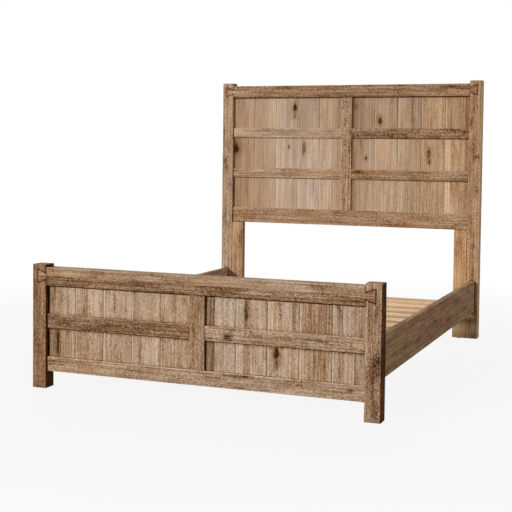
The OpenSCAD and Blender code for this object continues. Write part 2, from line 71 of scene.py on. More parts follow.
# ---------- facts of the pieces ----------
# grain axis, depth axis (from the face that shows, inwards), material slot and shared facts
POST = dict(grain=Z, depth=Y, slot="post_wood", crevice=0.6)
STILE = dict(grain=Z, depth=Y, slot="post_wood")
LEG_BOARD = dict(grain=Z, depth=Y, slot="post_wood", rough=0.9)
RAIL = dict(grain=X, depth=Y, slot="rail_wood")
TOP_RAIL = dict(RAIL, crevice=0.6)
FOOT_BATTEN = dict(RAIL, edge=0.20, crevice=0.65)
HEAD_BATTEN = dict(RAIL, crevice=0.3)
# the footboard's boards take the strongest, widest painted shade at their joints with the rails
# and battens
FOOT_BOARD = dict(grain=Z, depth=Y, slot="board_wood", edge=0.13, crevice=0.9, spread=1.8)
HEAD_BOARD = dict(grain=Z, depth=Y, slot="board_wood", edge=0.08, crevice=0.08)
SIDE_RAIL = dict(grain=Y, depth=X, slot="rail_wood", rough=0.9)
BEAM = dict(grain=Y, depth=X, slot="deck_wood", rough=0.4)
LEG = dict(grain=Z, depth=Y, slot="deck_wood", rough=0.4)
SLAT = dict(grain=X, depth=Z, slot="deck_wood", rough=0.5)

# tone is how light a piece is from 0 to 1, red how reddish its patches are, gold how golden the
# wood is against the common hue (greyer below 0) and rough how much the saw shows. edge is how
# much lighter its corners are, worn and with a painted highlight; crevice is how much darker its
# joints are with painted shade, and spread widens that painted shade.
# strips are (edge position across the grain, tone, their own gold if they have one) from the
# low side up, and strip_wave is how far a wandering edge strays. above is (level, how much
# lighter the wood is except on its front below that level). knots are (along the grain,
# across it, radius, darkness, stretch). Lengths are in metres.
TIMBERS = {
    # past their strip edges lie the footboard posts' faces that turn to the right: their dark,
    # warm tone is painted shade
    "footboard_post_left": dict(POST, tone=0.403, red=0.02, gold=0.8, rough=1.1,
                                strips=[(-0.7515, 0.20, 6.0)]),
    "footboard_post_right": dict(POST, tone=0.467, gold=-0.7, rough=1.2,
                                 strips=[(0.8175, 0.20, 8.0)],
                                 knots=[(0.236, 0.800, 0.016, 0.7, 2.6)]),
    "footboard_top_rail": dict(TOP_RAIL, tone=0.407, red=0.06, rough=1.3,
                               strips=[(0.518, 0.520, 0.1)], strip_wave=0.004),
    "footboard_bottom_rail": dict(RAIL, tone=0.530, gold=-0.3, rough=1.0, edge=0.20,
                                  knots=[(0.690, 0.124, 0.007, 0.8, 1.6),
                                         (0.222, 0.139, 0.006, 0.9, 3.4),
                                         (0.210, 0.090, 0.006, 0.6, 3.0)]),
    "footboard_center_stile": dict(STILE, tone=0.424, red=0.02, gold=0.8, rough=1.1, edge=0.24,
                                   crevice=0.65),
    "footboard_mid_rail_left": dict(FOOT_BATTEN, tone=0.401, red=0.16, gold=-0.2, rough=1.3),
    "footboard_mid_rail_right": dict(FOOT_BATTEN, tone=0.525, gold=-1, rough=1.2,
                                     knots=[(0.141, 0.303, 0.015, 0.85, 1.2)]),
    "headboard_post_left": dict(POST, tone=0.530, gold=-0.5, rough=1.0,
                                knots=[(1.032, -0.795, 0.009, 0.7, 1.4),
                                       (1.13, -0.80, 0.014, 0.3, 2.0)]),
    # past its strip edge lies the face that turns to the right: its light, golden tone is painted
    # light
    "headboard_post_right": dict(POST, tone=0.491, red=0.06, gold=1.9, rough=1.05,
                                 strips=[(0.8175, 0.76, 4.0)],
                                 knots=[(1.272, 0.761, 0.009, 0.6, 2.2),
                                        (1.072, 0.793, 0.006, 0.9, 1.2),
                                        (1.072, 0.808, 0.005, 0.8, 1.2)]),
    "headboard_top_rail": dict(TOP_RAIL, tone=0.435, red=0.02, gold=1.1, rough=1.2),
    "headboard_bottom_rail": dict(RAIL, tone=0.47, gold=0.6, rough=1.0),
    "headboard_center_stile": dict(STILE, tone=0.498, gold=0.4, rough=1.3, edge=0.18,
                                   crevice=0.3),
    # below 0.24 m the leg boards' fronts are lighter than the rest of them; on the right one this,
    # with its red and gold, is painted light where the side rail's shadow falls
    "headboard_leg_board_left": dict(LEG_BOARD, tone=0.57, red=0.08, gold=2.0,
                                     above=(0.24, -0.08)),
    "headboard_leg_board_right": dict(LEG_BOARD, tone=0.72, red=0.25, gold=4.8,
                                      above=(0.24, -0.20)),
    "headboard_mid_rail_upper_left": dict(HEAD_BATTEN, tone=0.540, gold=-0.6, rough=1.15,
                                          strips=[(1.186, 0.538, -0.9)], strip_wave=0.003),
    "headboard_mid_rail_upper_right": dict(HEAD_BATTEN, tone=0.395, gold=0.8, rough=1.45),
    "headboard_mid_rail_lower_left": dict(HEAD_BATTEN, tone=0.50, rough=1.0),
    "headboard_mid_rail_lower_right": dict(HEAD_BATTEN, tone=0.45, gold=0.8, rough=1.1),
    "side_rail_left": dict(SIDE_RAIL, tone=0.50, red=0.02, gold=1.0),
    "side_rail_right": dict(SIDE_RAIL, tone=0.51, red=0.08, gold=2.2),
    "slat_cleat_left": dict(BEAM, tone=0.62),
    "slat_cleat_right": dict(BEAM, tone=0.62),
    "center_beam": dict(BEAM, tone=0.62),
    "support_leg_foot": dict(LEG, tone=0.62),
    "support_leg_middle": dict(LEG, tone=0.60),
    "support_leg_head": dict(LEG, tone=0.63),
    "slats": dict(SLAT, tone=0.64),
}
# boards from left to right: tone, how much lighter above the batten, gold, strips, knots
FOOT_BOARDS = [
    (0.448, 0.052, -0.3, [(-0.692, 0.522), (-0.640, 0.548)],
     [(0.24, -0.697, 0.01, 0.9, 3.6), (0.18, -0.699, 0.008, 0.6, 2.6)]),
    (0.538, 0.061, -0.3, [(-0.572, 0.518), (-0.545, 0.544)],
     [(0.372, -0.562, 0.008, 0.5, 3.2), (0.44, -0.66, 0.006, 0.5, 2)]),
    (0.544, 0.06, -0.9, [(-0.415, 0.520), (-0.355, 0.530)], []),
    (0.577, -0.02, -1.1, [(-0.288, 0.573), (-0.236, 0.593)], []),
    (0.556, -0.005, -0.3, [(-0.128, 0.536), (-0.082, 0.544, 0.2)],
     [(0.443, -0.062, 0.007, 0.45, 1.4)]),
    (0.359, 0.05, -1.7, [(0.080, 0.549), (0.120, 0.575)], []),
    (0.610, 0, -1.2, [(0.213, 0.530), (0.243, 0.586)],
     [(0.41, 0.223, 0.011, 0.75, 3.8)]),
    (0.590, -0.017, -1, [(0.385, 0.570), (0.430, 0.544)],
     [(0.246, 0.363, 0.015, 1, 1.8), (0.2, 0.366, 0.008, 0.4, 2.4)]),
    (0.561, -0.058, -0.4, [(0.500, 0.521, 0.4), (0.548, 0.481, 0.8), (0.582, 0.537, 0.1)],
     [(0.214, 0.572, 0.007, 0.4, 4)]),
    (0.537, -0.019, -1, [(0.650, 0.557), (0.703, 0.525)], []),
]
HEAD_BOARDS = [
    (0.474, 0.028, 0.2, [(-0.700, 0.488), (-0.645, 0.514)],
     [(1.105, -0.733, 0.02, 0.95, 1.4)]),
    (0.516, 0.02, -0.3, [(-0.545, 0.540), (-0.512, 0.572)], []),
    (0.628, -0.022, -1.7, [(-0.400, 0.592), (-0.350, 0.562)],
     [(1.362, -0.338, 0.015, 1, 1.6), (1.119, -0.376, 0.006, 0.8, 1.6),
      (1.306, -0.341, 0.008, 0.4, 1.5)]),
    (0.620, -0.094, -2.2, [(-0.290, 0.600), (-0.255, 0.640)],
     [(1.115, -0.277, 0.012, 0.65, 2.8)]),
    (0.596, -0.044, -1.2, [(-0.095, 0.564, -0.7), (-0.060, 0.530, -0.7)], []),
    (0.391, -0.047, -1.3, [(0.048, 0.457), (0.066, 0.517), (0.140, 0.561)],
     [(1.057, 0.123, 0.007, 0.9, 1.6), (1.372, 0.052, 0.008, 0.3, 2)]),
    (0.579, -0.072, 0, [(0.238, 0.587), (0.270, 0.573)], [(1.281, 0.207, 0.012, 1, 1.7)]),
    (0.589, -0.042, -0.5, [(0.368, 0.525)], []),
    (0.514, -0.011, 0.9, [(0.500, 0.526), (0.560, 0.554)],
     [(1.088, 0.509, 0.013, 0.75, 2.2), (1.034, 0.513, 0.008, 0.6, 1.6)]),
    (0.623, -0.08, 0.8, [(0.640, 0.573, 1.6), (0.690, 0.523, 2.8), (0.725, 0.443, 2.3)], []),
]
# the headboard's boards grow rougher from left to right
for end, common, boards, batten, rough, rougher in (
        ("footboard", FOOT_BOARD, FOOT_BOARDS, "footboard_mid_rail_left", 0.90, 0.0),
        ("headboard", HEAD_BOARD, HEAD_BOARDS, "headboard_mid_rail_upper_left", 0.32, 0.035)):
    level = sum(corner[Z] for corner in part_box(batten)) / 2
    for number, (tone, lighter, gold, strips, knots) in enumerate(boards, start=1):
        TIMBERS[f"{end}_board_{number}"] = dict(
            common, tone=tone, gold=gold, rough=rough + rougher * number,
            above=(level, lighter), strips=strips, knots=knots)


# ---------- settings ----------

def length_property(name, default, low, description):
    return FloatProperty(name=name, default=default, min=low, unit="LENGTH",
                         description=description)


def strength_property(name, default, description):
    return FloatProperty(name=name, default=default, min=0, description=description)


def angle_property(name, degrees, description):
    return FloatProperty(name=name, subtype="ANGLE", default=math.radians(degrees),
                         description=description)


def colour_property(name, default, description):
    return FloatVectorProperty(name=name, subtype="COLOR", size=3, min=0, max=1,
                               default=default, description=description)


class BedTimberSettings(bpy.types.PropertyGroup):
    """Sizes of the hand-worn surface."""
    cell_long: length_property("Cell along the grain", 0.012, 0.004,
                               "Spacing of the worn surface's points along a timber")
    cell_wide: length_property("Cell across the grain", 0.011, 0.004,
                               "Spacing of the worn surface's points across a timber")
    wave_depth: length_property("Wave depth", 0.0011, 0.0, "How deep the sawn faces wander")
    arris_wear: length_property("Arris wear", 0.0022, 0.0, "How far the corners are worn back")
    # painted shade: how far the darkening spreads out of a joint
    crevice_shade_reach: length_property("Crevice reach", 0.004, 0.001,
                                   "How far dirt spreads out of a joint")
    seed: IntProperty(name="Seed", default=7, description="Changes every timber's figure")


class BedFinishSettings(bpy.types.PropertyGroup):
    """Colours of the wood, the steel and the nylon."""
    # the joints' painted shade darkens the wood towards this colour
    wood_black: colour_property("Blackest wood", (0.030, 0.011, 0.004),
                                "Colour in cracks and the hearts of knots")
    wood_dark: colour_property("Dark wood", (0.133, 0.062, 0.025),
                               "Colour of pores and dark streaks")
    wood_warm: colour_property("Warm wood", (0.270, 0.157, 0.086),
                               "Colour of the rough-sawn timbers")
    wood_pale: colour_property("Pale wood", (0.433, 0.296, 0.192),
                               "Colour of the smooth boards")
    wood_light: colour_property("Lightest wood", (0.640, 0.490, 0.355),
                                "Colour of worn, raised grain")
    wood_red: colour_property("Red wood", (0.300, 0.135, 0.062),
                              "Colour of the reddish patches")
    deck_tint: FloatVectorProperty(name="Deck tint", size=3, min=0, max=2,
                                   default=(1.20, 1.12, 0.96),
                                   description="What the deck's wood colours are multiplied by")
    zinc: colour_property("Zinc", (0.56, 0.57, 0.58), "Colour of the zinc-plated steel")
    nylon: colour_property("Nylon", (0.030, 0.027, 0.024), "Colour of the moulded nylon")


class BedStageSettings(bpy.types.PropertyGroup):
    """Camera and light."""
    lens: FloatProperty(name="Lens", default=76.06, min=10, unit="CAMERA",
                        description="Focal length in millimetres")
    shift_y: FloatProperty(name="Shift", default=-0.1094,
                           description="Vertical shift of the lens")
    place: FloatVectorProperty(name="Camera place", subtype="TRANSLATION", unit="LENGTH", size=3,
                               default=(1.932, -5.304, 1.099),
                               description="Where the camera stands")
    yaw: angle_property("Yaw", 21.630, "Turn of the camera to the left")
    pitch: angle_property("Pitch", 2.657, "Tilt of the camera downwards")
    roll: angle_property("Roll", 0.652, "Roll of the camera")
    key: strength_property("Key light", 3.1, "Strength of the key light")
    side: strength_property("Side light", 0.9, "Strength of the light from the right")
    rim: strength_property("Rim light", 1.3, "Strength of the light from behind")
    fill: strength_property("Fill light", 0.20, "Strength of the fill")
    floor: colour_property("Floor", (0.34, 0.31, 0.28),
                           "Colour of the floor under its white sheen")


# ---------- node trees ----------

def maths(operation, reflected=False):
    """A method that adds a Math node, or Vector Math where a vector or a colour takes part."""
    def method(self, *others):
        values = (*others, self) if reflected else (self, *others)
        kinds = {value.socket.type for value in values if isinstance(value, Value)}
        kind = "ShaderNodeVectorMath" if kinds & {"VECTOR", "RGBA"} else "ShaderNodeMath"
        return self.tree.node(kind, {"operation": operation}, dict(enumerate(values)))
    return method


class Value:
    """A node's output that Python's arithmetic works on."""

    def __init__(self, tree, socket):
        self.tree, self.socket = tree, socket

    __add__ = __radd__ = maths("ADD")
    __sub__, __rsub__ = maths("SUBTRACT"), maths("SUBTRACT", reflected=True)
    __mul__ = __rmul__ = maths("MULTIPLY")
    __truediv__, __rtruediv__ = maths("DIVIDE"), maths("DIVIDE", reflected=True)
    __abs__ = maths("ABSOLUTE")
    root = maths("SQRT")
    exp = maths("EXPONENT")
    floor = maths("FLOOR")
    over = maths("GREATER_THAN")
    most = maths("MAXIMUM")

    def rise(self, low, high):
        """0 below low, 1 above high, smooth between; high may be the lower one."""
        if low > high:
            return 1.0 - self.rise(high, low)
        return self.tree.node("ShaderNodeMapRange", {"interpolation_type": "SMOOTHSTEP"},
                              {"Value": self, "From Min": low, "From Max": high})


class Tree:
    """A node tree under construction."""

    def __init__(self, tree):
        self.nodes, self.links = tree.nodes, tree.links
        self.nodes.clear()

    def node(self, kind, settings=None, inputs=None, out=0):
        """A node of that type: settings first, then its sockets' values or links."""
        made = self.nodes.new(kind)
        for name, setting in (settings or {}).items():
            if name == "stops":
                elements = made.color_ramp.elements
                elements.remove(elements[1])
                elements[0].position, elements[0].color = setting[0]
                for position, colour in setting[1:]:
                    elements.new(position).color = colour
            else:
                setattr(made, name, setting)
        for name, value in (inputs or {}).items():
            if isinstance(value, Value):
                self.links.new(value.socket, made.inputs[name])
            else:
                made.inputs[name].default_value = value
        return Value(self, made.outputs[out]) if made.outputs else None

    def noise(self, vector, scale=1.0, detail=2.0, roughness=0.5, out="Fac"):
        return self.node("ShaderNodeTexNoise", None,
                         {"Vector": vector, "Scale": scale, "Detail": detail,
                          "Roughness": roughness}, out)


class Finish(Tree):
    """A material under construction."""

    def __init__(self, name):
        self.material = bpy.data.materials.new(name)
        self.material.use_nodes = True
        super().__init__(self.material.node_tree)

    def place(self):
        """Where a point lies on the object."""
        return self.node("ShaderNodeTexCoord", out="Object")

    def vector(self, x, y, z):
        return self.node("ShaderNodeCombineXYZ", None, {0: x, 1: y, 2: z})

    def split(self, vector):
        first = self.node("ShaderNodeSeparateXYZ", None, {0: vector})
        outs = first.socket.node.outputs
        return [Value(self, outs[axis]) for axis in (X, Y, Z)]

    def mix(self, factor, a, b):
        return self.node("ShaderNodeMix", {"data_type": "RGBA"}, {0: factor, 6: a, 7: b}, 2)

    def hued(self, colour, gold, pink):
        """A wood colour some steps more golden and some more pink; below 0, greyer and greener."""
        return colour * self.vector(gold * 0.028 + 1.0, 1.0 - pink * 0.018, 1.0 - gold * 0.044)

    def attribute(self, name):
        return self.node("ShaderNodeAttribute", {"attribute_name": name}, None, "Fac")

    def bump(self, height, distance, strength):
        return self.node("ShaderNodeBump", None,
                         {"Height": height, "Distance": distance, "Strength": strength})

    def surface(self, **inputs):
        """Closes the material with one Principled shader."""
        return self.close(self.node("ShaderNodeBsdfPrincipled", None, {
            name.replace("_", " "): value for name, value in inputs.items()}))

    def close(self, shader):
        self.node("ShaderNodeOutputMaterial", None, {"Surface": shader})
        return self.material


class Shape(Tree):
    """A geometry node tree under construction, which ends in real geometry in its material."""

    def __init__(self, name, inputs):
        self.group = bpy.data.node_groups.new(name, "GeometryNodeTree")
        super().__init__(self.group)
        face = self.group.interface
        face.new_socket("Geometry", in_out="OUTPUT", socket_type="NodeSocketGeometry")
        for label, kind in [("Geometry", "Geometry"), ("Material", "Material"), *inputs]:
            face.new_socket(label, in_out="INPUT", socket_type=f"NodeSocket{kind}")

    def given(self, label):
        """One of the tree's own inputs."""
        return self.node("NodeGroupInput", out=label)

    def named(self, name, kind="FLOAT"):
        """An attribute stored on the points."""
        return self.node("GeometryNodeInputNamedAttribute", {"data_type": kind}, {"Name": name})

    def real(self, geometry):
        return self.node("GeometryNodeRealizeInstances", None, {"Geometry": geometry})

    def close(self, geometry):
        finished = self.node("GeometryNodeSetMaterial", None,
                             {"Geometry": self.real(geometry), "Material": self.given("Material")})
        self.node("NodeGroupOutput", None, {"Geometry": finished})
        return self.group


# ---------- wood ----------

# where the wood's five colours stand on the scale of tones
TONES = (0.10, 0.28, 0.435, 0.58, 0.76)
GLUE_LINE = (0.0016, 0.0003)       # where a glue line's darkness starts, and where it is whole
STRIP_WAVE = 0.0015                # how far a glued edge strays unless a timber says otherwise


def rgba(colour, tone=1.0):
    return (*[min(1.0, channel * tone) for channel in colour], 1.0)


class Wood(Finish):
    """One timber's finish, whose rings, fibres, saw marks and knots follow its own grain."""

    def __init__(self, name, facts, middle):
        super().__init__(name)
        self.facts, self.seed, self.rough = facts, facts["seed"], facts["rough"]
        grain, inwards = facts["grain"], facts["depth"]
        sideways = X + Y + Z - grain - inwards
        place = self.split(self.place())
        self.along, self.across, self.depth = place[grain], place[sideways], place[inwards]
        self.pith = middle[sideways] - facts["pith_side"], middle[inwards] - facts["pith_back"]
        self.drift = self.split(self.drawn(1.1, 2.6, self.seed, detail=3.0, out="Color"))
        self.wander = self.drawn(34.0, 80.0, self.seed, detail=3.0, roughness=0.6)
        self.knots = [(knot, self.distance_to(knot)) for knot in facts.get("knots", ())]
        self.lay_strips()
        self.vary_tone()
        self.find_traits()

    def drawn(self, lengthwise, crosswise, moved, aside=0.0, **figure):
        """Noise drawn out along the grain, so many turns a metre along it and across it."""
        return self.noise(self.vector(self.along * lengthwise + moved,
                                      self.across * crosswise + aside,
                                      self.depth * crosswise), **figure)

    def distance_to(self, knot):
        """Distance from a knot's heart, shortened along the grain."""
        where, aside, radius, _, stretch = knot
        du = (self.along - where) / stretch
        dv = self.across - aside
        return (du * du + dv * dv).root() + (self.wander - 0.5) * radius * 1.5

    def lay_strips(self):
        """Gives each glued strip its own figure, tone and gold. A straight edge gets a dark glue
        line, and past a wandering one the wood is calmer."""
        facts = self.facts
        self.shift, self.glue, self.calm = 0.0, 0.0, 0.0
        common_gold = facts.get("gold", 0.0)
        self.tone = last_tone = facts["tone"]
        self.gold = last_gold = common_gold
        wave = (self.drift[2] - 0.5) * (facts.get("strip_wave", STRIP_WAVE) * 2.0)
        for edge, tone, *own_gold in facts.get("strips", ()):
            gold = own_gold[0] if own_gold else common_gold
            away = self.across - edge + wave
            beyond = away.over(0.0)
            self.shift = beyond * (3.7 + 11.0 * tone) + self.shift
            self.tone = beyond * (tone - last_tone) + self.tone
            self.gold = beyond * (gold - last_gold) + self.gold
            if "strip_wave" in facts:
                self.calm = beyond * 0.5
            else:
                self.glue = abs(away).rise(*GLUE_LINE) + self.glue
            last_tone, last_gold = tone, gold

    def vary_tone(self):
        """Lightens all but the front below a batten, and gives each slat its own tone."""
        facts = self.facts
        if "above" in facts:
            level, lighter = facts["above"]
            # on the right leg board this leaves the foot's front lighter: painted light where the
            # side rail's shadow falls
            lower_face = (1.0 - self.along.over(level)) * (1.0 - self.depth.over(facts["front"]))
            self.tone = (self.tone + lighter) - lower_face * lighter
        if "pitch" in facts:
            number = ((self.across - facts["first"]) / facts["pitch"] + 0.5).floor()
            chance = self.node("ShaderNodeTexWhiteNoise", {"noise_dimensions": "1D"},
                               {"W": number + self.seed}, "Value")
            self.shift = chance * 60.0
            self.tone = chance * 0.10 + (self.tone - 0.05)

    def rings(self):
        """Growth rings round a wandering pith, swollen round the knots."""
        beside = self.across - self.pith[0] + (self.drift[0] - 0.5) * 0.12
        behind = self.depth - self.pith[1] + (self.drift[1] - 0.5) * 0.10
        rings = (beside * beside + behind * behind).root() * 1000.0
        for (_, _, radius, _, _), far in self.knots:
            reach = far / (radius * 2.6)
            rings = rings + (reach * reach * -1.0).exp() * (radius * 1900.0)
        return rings + self.shift

    def find_traits(self):
        """Works out every trait of the wood as a share."""
        seed, shift, rings = self.seed, self.shift, self.rings()
        broad = self.noise(self.vector(rings * 0.09, self.along * 1.3 + shift, seed),
                           detail=3.0, roughness=0.62)
        fine = self.noise(self.vector(rings * 0.36, self.along * 3.2, seed + 3.1),
                          detail=3.0, roughness=0.62)
        brushed = self.drawn(1.6, 105.0, shift, detail=4.0, roughness=0.80)
        mottle = self.drawn(84.0, 200.0, seed, shift, detail=4.0, roughness=0.72)
        saw = self.drawn(150.0, 30.0, self.across * 70.0)
        self.figure = broad.rise(0.34, 0.66) * 0.55 + fine.rise(0.32, 0.70) * 0.45 - 0.5
        self.lines = brushed.rise(0.28, 0.72) - 0.5
        self.speck = mottle.rise(0.32, 0.68) - 0.5
        self.fibre = self.drawn(24.0, 620.0, shift, roughness=0.6)
        self.pores = self.drawn(48.0, 430.0, shift, roughness=0.6).rise(0.56, 0.74)
        self.blotch = self.drawn(6.0, 20.0, seed, shift, detail=5.0, roughness=0.66)
        self.patch = self.blotch.rise(0.40, 0.62)
        self.sawn = saw.rise(0.50, 0.72) * self.patch
        self.streak = self.blotch.rise(0.54, 0.68) * broad.rise(0.62, 0.36)
        self.hue = self.split(self.drawn(4.0, 13.0, seed, shift * 0.02, detail=5.0,
                                         roughness=0.64, out="Color"))
        self.arris, self.crevice = self.attribute("arris"), self.attribute("crevice")

    def lightness(self):
        """How light the wood is: its tone, and each trait with its weight."""
        rough, busy = self.rough, 1.0 - self.calm
        value = (self.figure * (0.02 + 0.07 * rough) + self.lines * (0.06 + 0.16 * rough)
                 + self.speck * busy * (0.30 * rough - 0.06) + (self.fibre - 0.5) * 0.16
                 + (self.tone + 0.015) - self.pores * (0.11 * rough)
                 - self.sawn * (0.12 * rough) - (self.patch - 0.5) * (0.06 * rough)
                 - self.streak * busy * (0.13 * rough))
        for knot, far in self.knots:
            value = self.darkened(value, knot, far)
        # the corners lighter: wear, with a painted highlight; the joints darker: painted shade
        worn = self.arris * (self.patch * 0.06 + self.facts.get("edge", 0.09))
        return value - self.glue * 0.05 + worn - self.crevice * self.facts.get("crevice", 0.42)

    def heart(self, radius, far):
        """1 in the heart of a knot, 0 outside it."""
        return (far / radius).rise(1.25, 0.6)

    def darkened(self, value, knot, far):
        """The lightness with a knot's halo, heart, eye and tail taken off it."""
        where, aside, radius, darkness, stretch = knot
        halo = (far / radius).rise(3.2, 0.9) * (self.lines * 0.7 + 0.7)
        heart = self.heart(radius, far)
        eye = self.noise(self.vector(far * (1.9 / radius), self.seed, 0.0), detail=1.0)
        tail = (abs(self.along - where) / (radius * stretch * 2.6)).rise(1.0, 0.3) \
            * (abs(self.across - aside + (self.wander - 0.5) * radius) / radius).rise(0.5, 0.1)
        return value - halo * (0.12 * darkness) - heart * (0.15 * darkness) \
            - heart * eye.rise(0.4, 0.6) * (0.16 * darkness) - tail * (0.10 * darkness)

    def relief(self):
        """Height of the brushed surface, with the pores, saw marks and knots sunk into it."""
        height = (self.figure * 0.4 + self.lines * 0.5 + self.fibre * 0.45 - self.pores * 0.6
                  + self.speck * (1.1 * self.rough - 0.3) - self.sawn * 1.2 * self.rough
                  + self.blotch * 0.8)
        for (_, _, radius, _, _), far in self.knots:
            height = height - self.heart(radius, far) * 0.6
        return self.bump(height, 0.0012 * (0.4 + 0.6 * self.rough), 0.8)

    def coloured(self, scale, red):
        """The colour of that lightness, more golden and pink in the painted shade of the joints,
        with reddish patches.
        """
        stops = [(at, rgba(colour)) for at, colour in zip(TONES, scale)]
        plain = self.node("ShaderNodeValToRGB", {"stops": stops}, {"Fac": self.lightness()},
                          "Color")
        # painted shade: the darkened joints also turn more golden and pink, like shadow on this
        # wood
        gold = self.crevice * 18.0 + self.gold + (self.hue[0] - 0.5) * (5.0 + 5.0 * self.rough)
        pink = self.crevice * 9.0 + (self.hue[1] - 0.5) * 9.0
        return self.mix(self.patch * self.facts.get("red", 0.0), self.hued(plain, gold, pink),
                        rgba(red))


def timber_finish(name, facts, middle, colours):
    """Wood in the colours from black to lightest, its reddish patches in the last one."""
    *scale, red = colours
    wood = Wood(name, facts, middle)
    return wood.surface(Base_Color=wood.coloured(scale, red), Specular_IOR_Level=0.06,
                        Roughness=wood.figure * -0.14 + wood.pores * 0.14 + 0.70,
                        Normal=wood.relief())


# ---------- worn timber geometry ----------

BOXES = {node: tuple(np.array(corner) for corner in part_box(node)) for node in frame["nodes"]}
REACH = 0.03                       # how far a neighbour is looked for
JOINT_LINE = 0.0022                # cuts on each side of a joint, for its thin line of painted shade
SPACING = 0.0012                   # cuts lie at least this far apart
SAME_PLACE = 1e-4                  # what lies closer than this to a timber's end is at its end
MERGED = 1e-6                      # points closer than this are one
NEAR_ENDS = (0.004,)               # cuts close to the ends of a timber
NEAR_SIDES = (0.004, 0.009)        # cuts close to its sides
NEAR_THIN = (0.003,)               # cuts close to the sides of a thin one
THIN, THINNEST = 0.02, 0.012       # under these a timber is thin, or cut only at its middle
ARRIS = 0.0034                     # width of the worn corners
ARRIS_DEPTH = 0.004                # how far from a face they reach
BEVEL = 0.002                      # width of the boards' bevels
BEVEL_ZONE = 1.6 * BEVEL           # how far from a joint the points belong to its bevels
BEVEL_DEPTH = 0.003                # how far behind a board's face its bevels reach
BEVEL_KEPT = 0.4                   # share of the bevels' depth that the worn boards keep
FACE_DEPTH = 0.004                 # how far behind its front face a timber counts as its front
AGAINST_LIGHT_SHARE = 0.15                      # share of the painted shade kept on a joint's lit side, and of a batten's lightened corners on its shaded side
HELD, FREE = 0.0003, 0.004         # a face is held up to one gap, and free the other beyond it
NOWHERE = 9.0                      # a place that no timber reaches
TAIL_START, TAIL_LENGTH = 0.749, 0.044  # where a dovetail starts, from the bed's middle
TAIL_NECK, TAIL_END = 0.014, 0.030      # half of its height at its neck and at its end
TAIL_BESIDE, TAIL_ABOVE = 0.004, 0.006  # how far round it the cuts beside its cheeks reach
SMALL_FITTINGS = ("screws", "plates", "bolts", "nuts", "inserts", "glides")


def is_board(node):
    return "board_board_" in node


def triangles(node):
    """A CAD node's points and triangles."""
    mesh = frame["nodes"][node].data
    mesh.calc_loop_triangles()
    points = np.zeros(len(mesh.vertices) * 3)
    mesh.vertices.foreach_get("co", points)
    faces = np.zeros(len(mesh.loop_triangles) * 3, np.int64)
    mesh.loop_triangles.foreach_get("vertices", faces)
    return points.reshape(-1, 3), faces.reshape(-1, 3)


def solid_copy(node):
    """A copy of a CAD node with its doubled points merged and its flat faces whole."""
    solid = bmesh.new()
    solid.from_mesh(frame["nodes"][node].data)
    bmesh.ops.remove_doubles(solid, verts=solid.verts, dist=MERGED)
    bmesh.ops.dissolve_limit(solid, angle_limit=math.radians(0.3), verts=solid.verts,
                             edges=solid.edges)
    return solid


def cut_plane(solid, faces, place, aim):
    """Cuts the faces by the plane through the place and square to the aim."""
    edges = list({edge for face in faces for edge in face.edges})
    points = list({point for face in faces for point in face.verts})
    return bmesh.ops.bisect_plane(solid, geom=points + edges + faces, dist=MERGED,
                                  plane_co=place, plane_no=aim)["geom"]


def cut_faces(solid, faces, axis, offsets):
    """Cuts the faces by planes square to an axis, halving the work at each plane."""
    if not offsets or not faces:
        return
    middle = len(offsets) // 2
    place, aim = [0.0, 0.0, 0.0], [0.0, 0.0, 0.0]
    place[axis], aim[axis] = offsets[middle], 1.0
    below, above = [], []
    for face in cut_plane(solid, faces, place, aim):
        if isinstance(face, bmesh.types.BMFace):
            level = sum(point.co[axis] for point in face.verts) / len(face.verts)
            (below if level < offsets[middle] else above).append(face)
    cut_faces(solid, below, axis, offsets[:middle])
    cut_faces(solid, above, axis, offsets[middle + 1:])


def cut_dovetails(solid, node):
    """Cuts beside the sloping cheeks of the dovetails, so that their lines of painted shade are
    thin.
    """
    low, high = BOXES[node.split("_")[0] + "_top_rail"]
    level = (low[Z] + high[Z]) / 2
    inner, outer = TAIL_START - TAIL_BESIDE, TAIL_START + TAIL_LENGTH + TAIL_BESIDE
    for side in (-1, 1):
        for up in (-1, 1):
            slope = Vector((side * TAIL_LENGTH, 0.0, up * (TAIL_END - TAIL_NECK)))
            square = Vector((slope.z, 0.0, -slope.x)).normalized()
            place = Vector((side * TAIL_START, 0.0, level + up * TAIL_NECK))
            for offset in (-JOINT_LINE, JOINT_LINE):
                faces = []
                for face in solid.faces:
                    middle = face.calc_center_median()
                    if inner < middle.x * side < outer and \
                            -TAIL_BESIDE < (middle.z - level) * up < TAIL_END + TAIL_ABOVE:
                        faces.append(face)
                cut_plane(solid, faces, place + square * offset, square)


def thinned(values):
    """Values in order, those too close to the one before left out."""
    kept = []
    for value in sorted(values):
        if not kept or value - kept[-1] > SPACING:
            kept.append(value)
    return kept


def cut_offsets(low, high, cell, near, extra):
    """Positions of the cuts between two ends: close together at both, even between."""
    offsets = [low + step for step in near] + [high - step for step in near]
    inner_low, inner_high = low + near[-1], high - near[-1]
    count = max(1, round((inner_high - inner_low) / cell))
    offsets += [inner_low + (inner_high - inner_low) * k / count for k in range(1, count)]
    fixed = [value for value in extra if low + SAME_PLACE < value < high - SAME_PLACE]
    offsets = [value for value in offsets
               if low + SAME_PLACE < value < high - SAME_PLACE
               and all(abs(value - other) > SPACING for other in fixed)] + fixed
    return sorted(set(round(value, 6) for value in offsets))


def neighbours(node):
    """Other nodes whose boxes come near this one's."""
    low, high = BOXES[node]
    return [other for other, (other_low, other_high) in BOXES.items() if other != node
            and (other_low - REACH < high).all() and (other_high + REACH > low).all()]


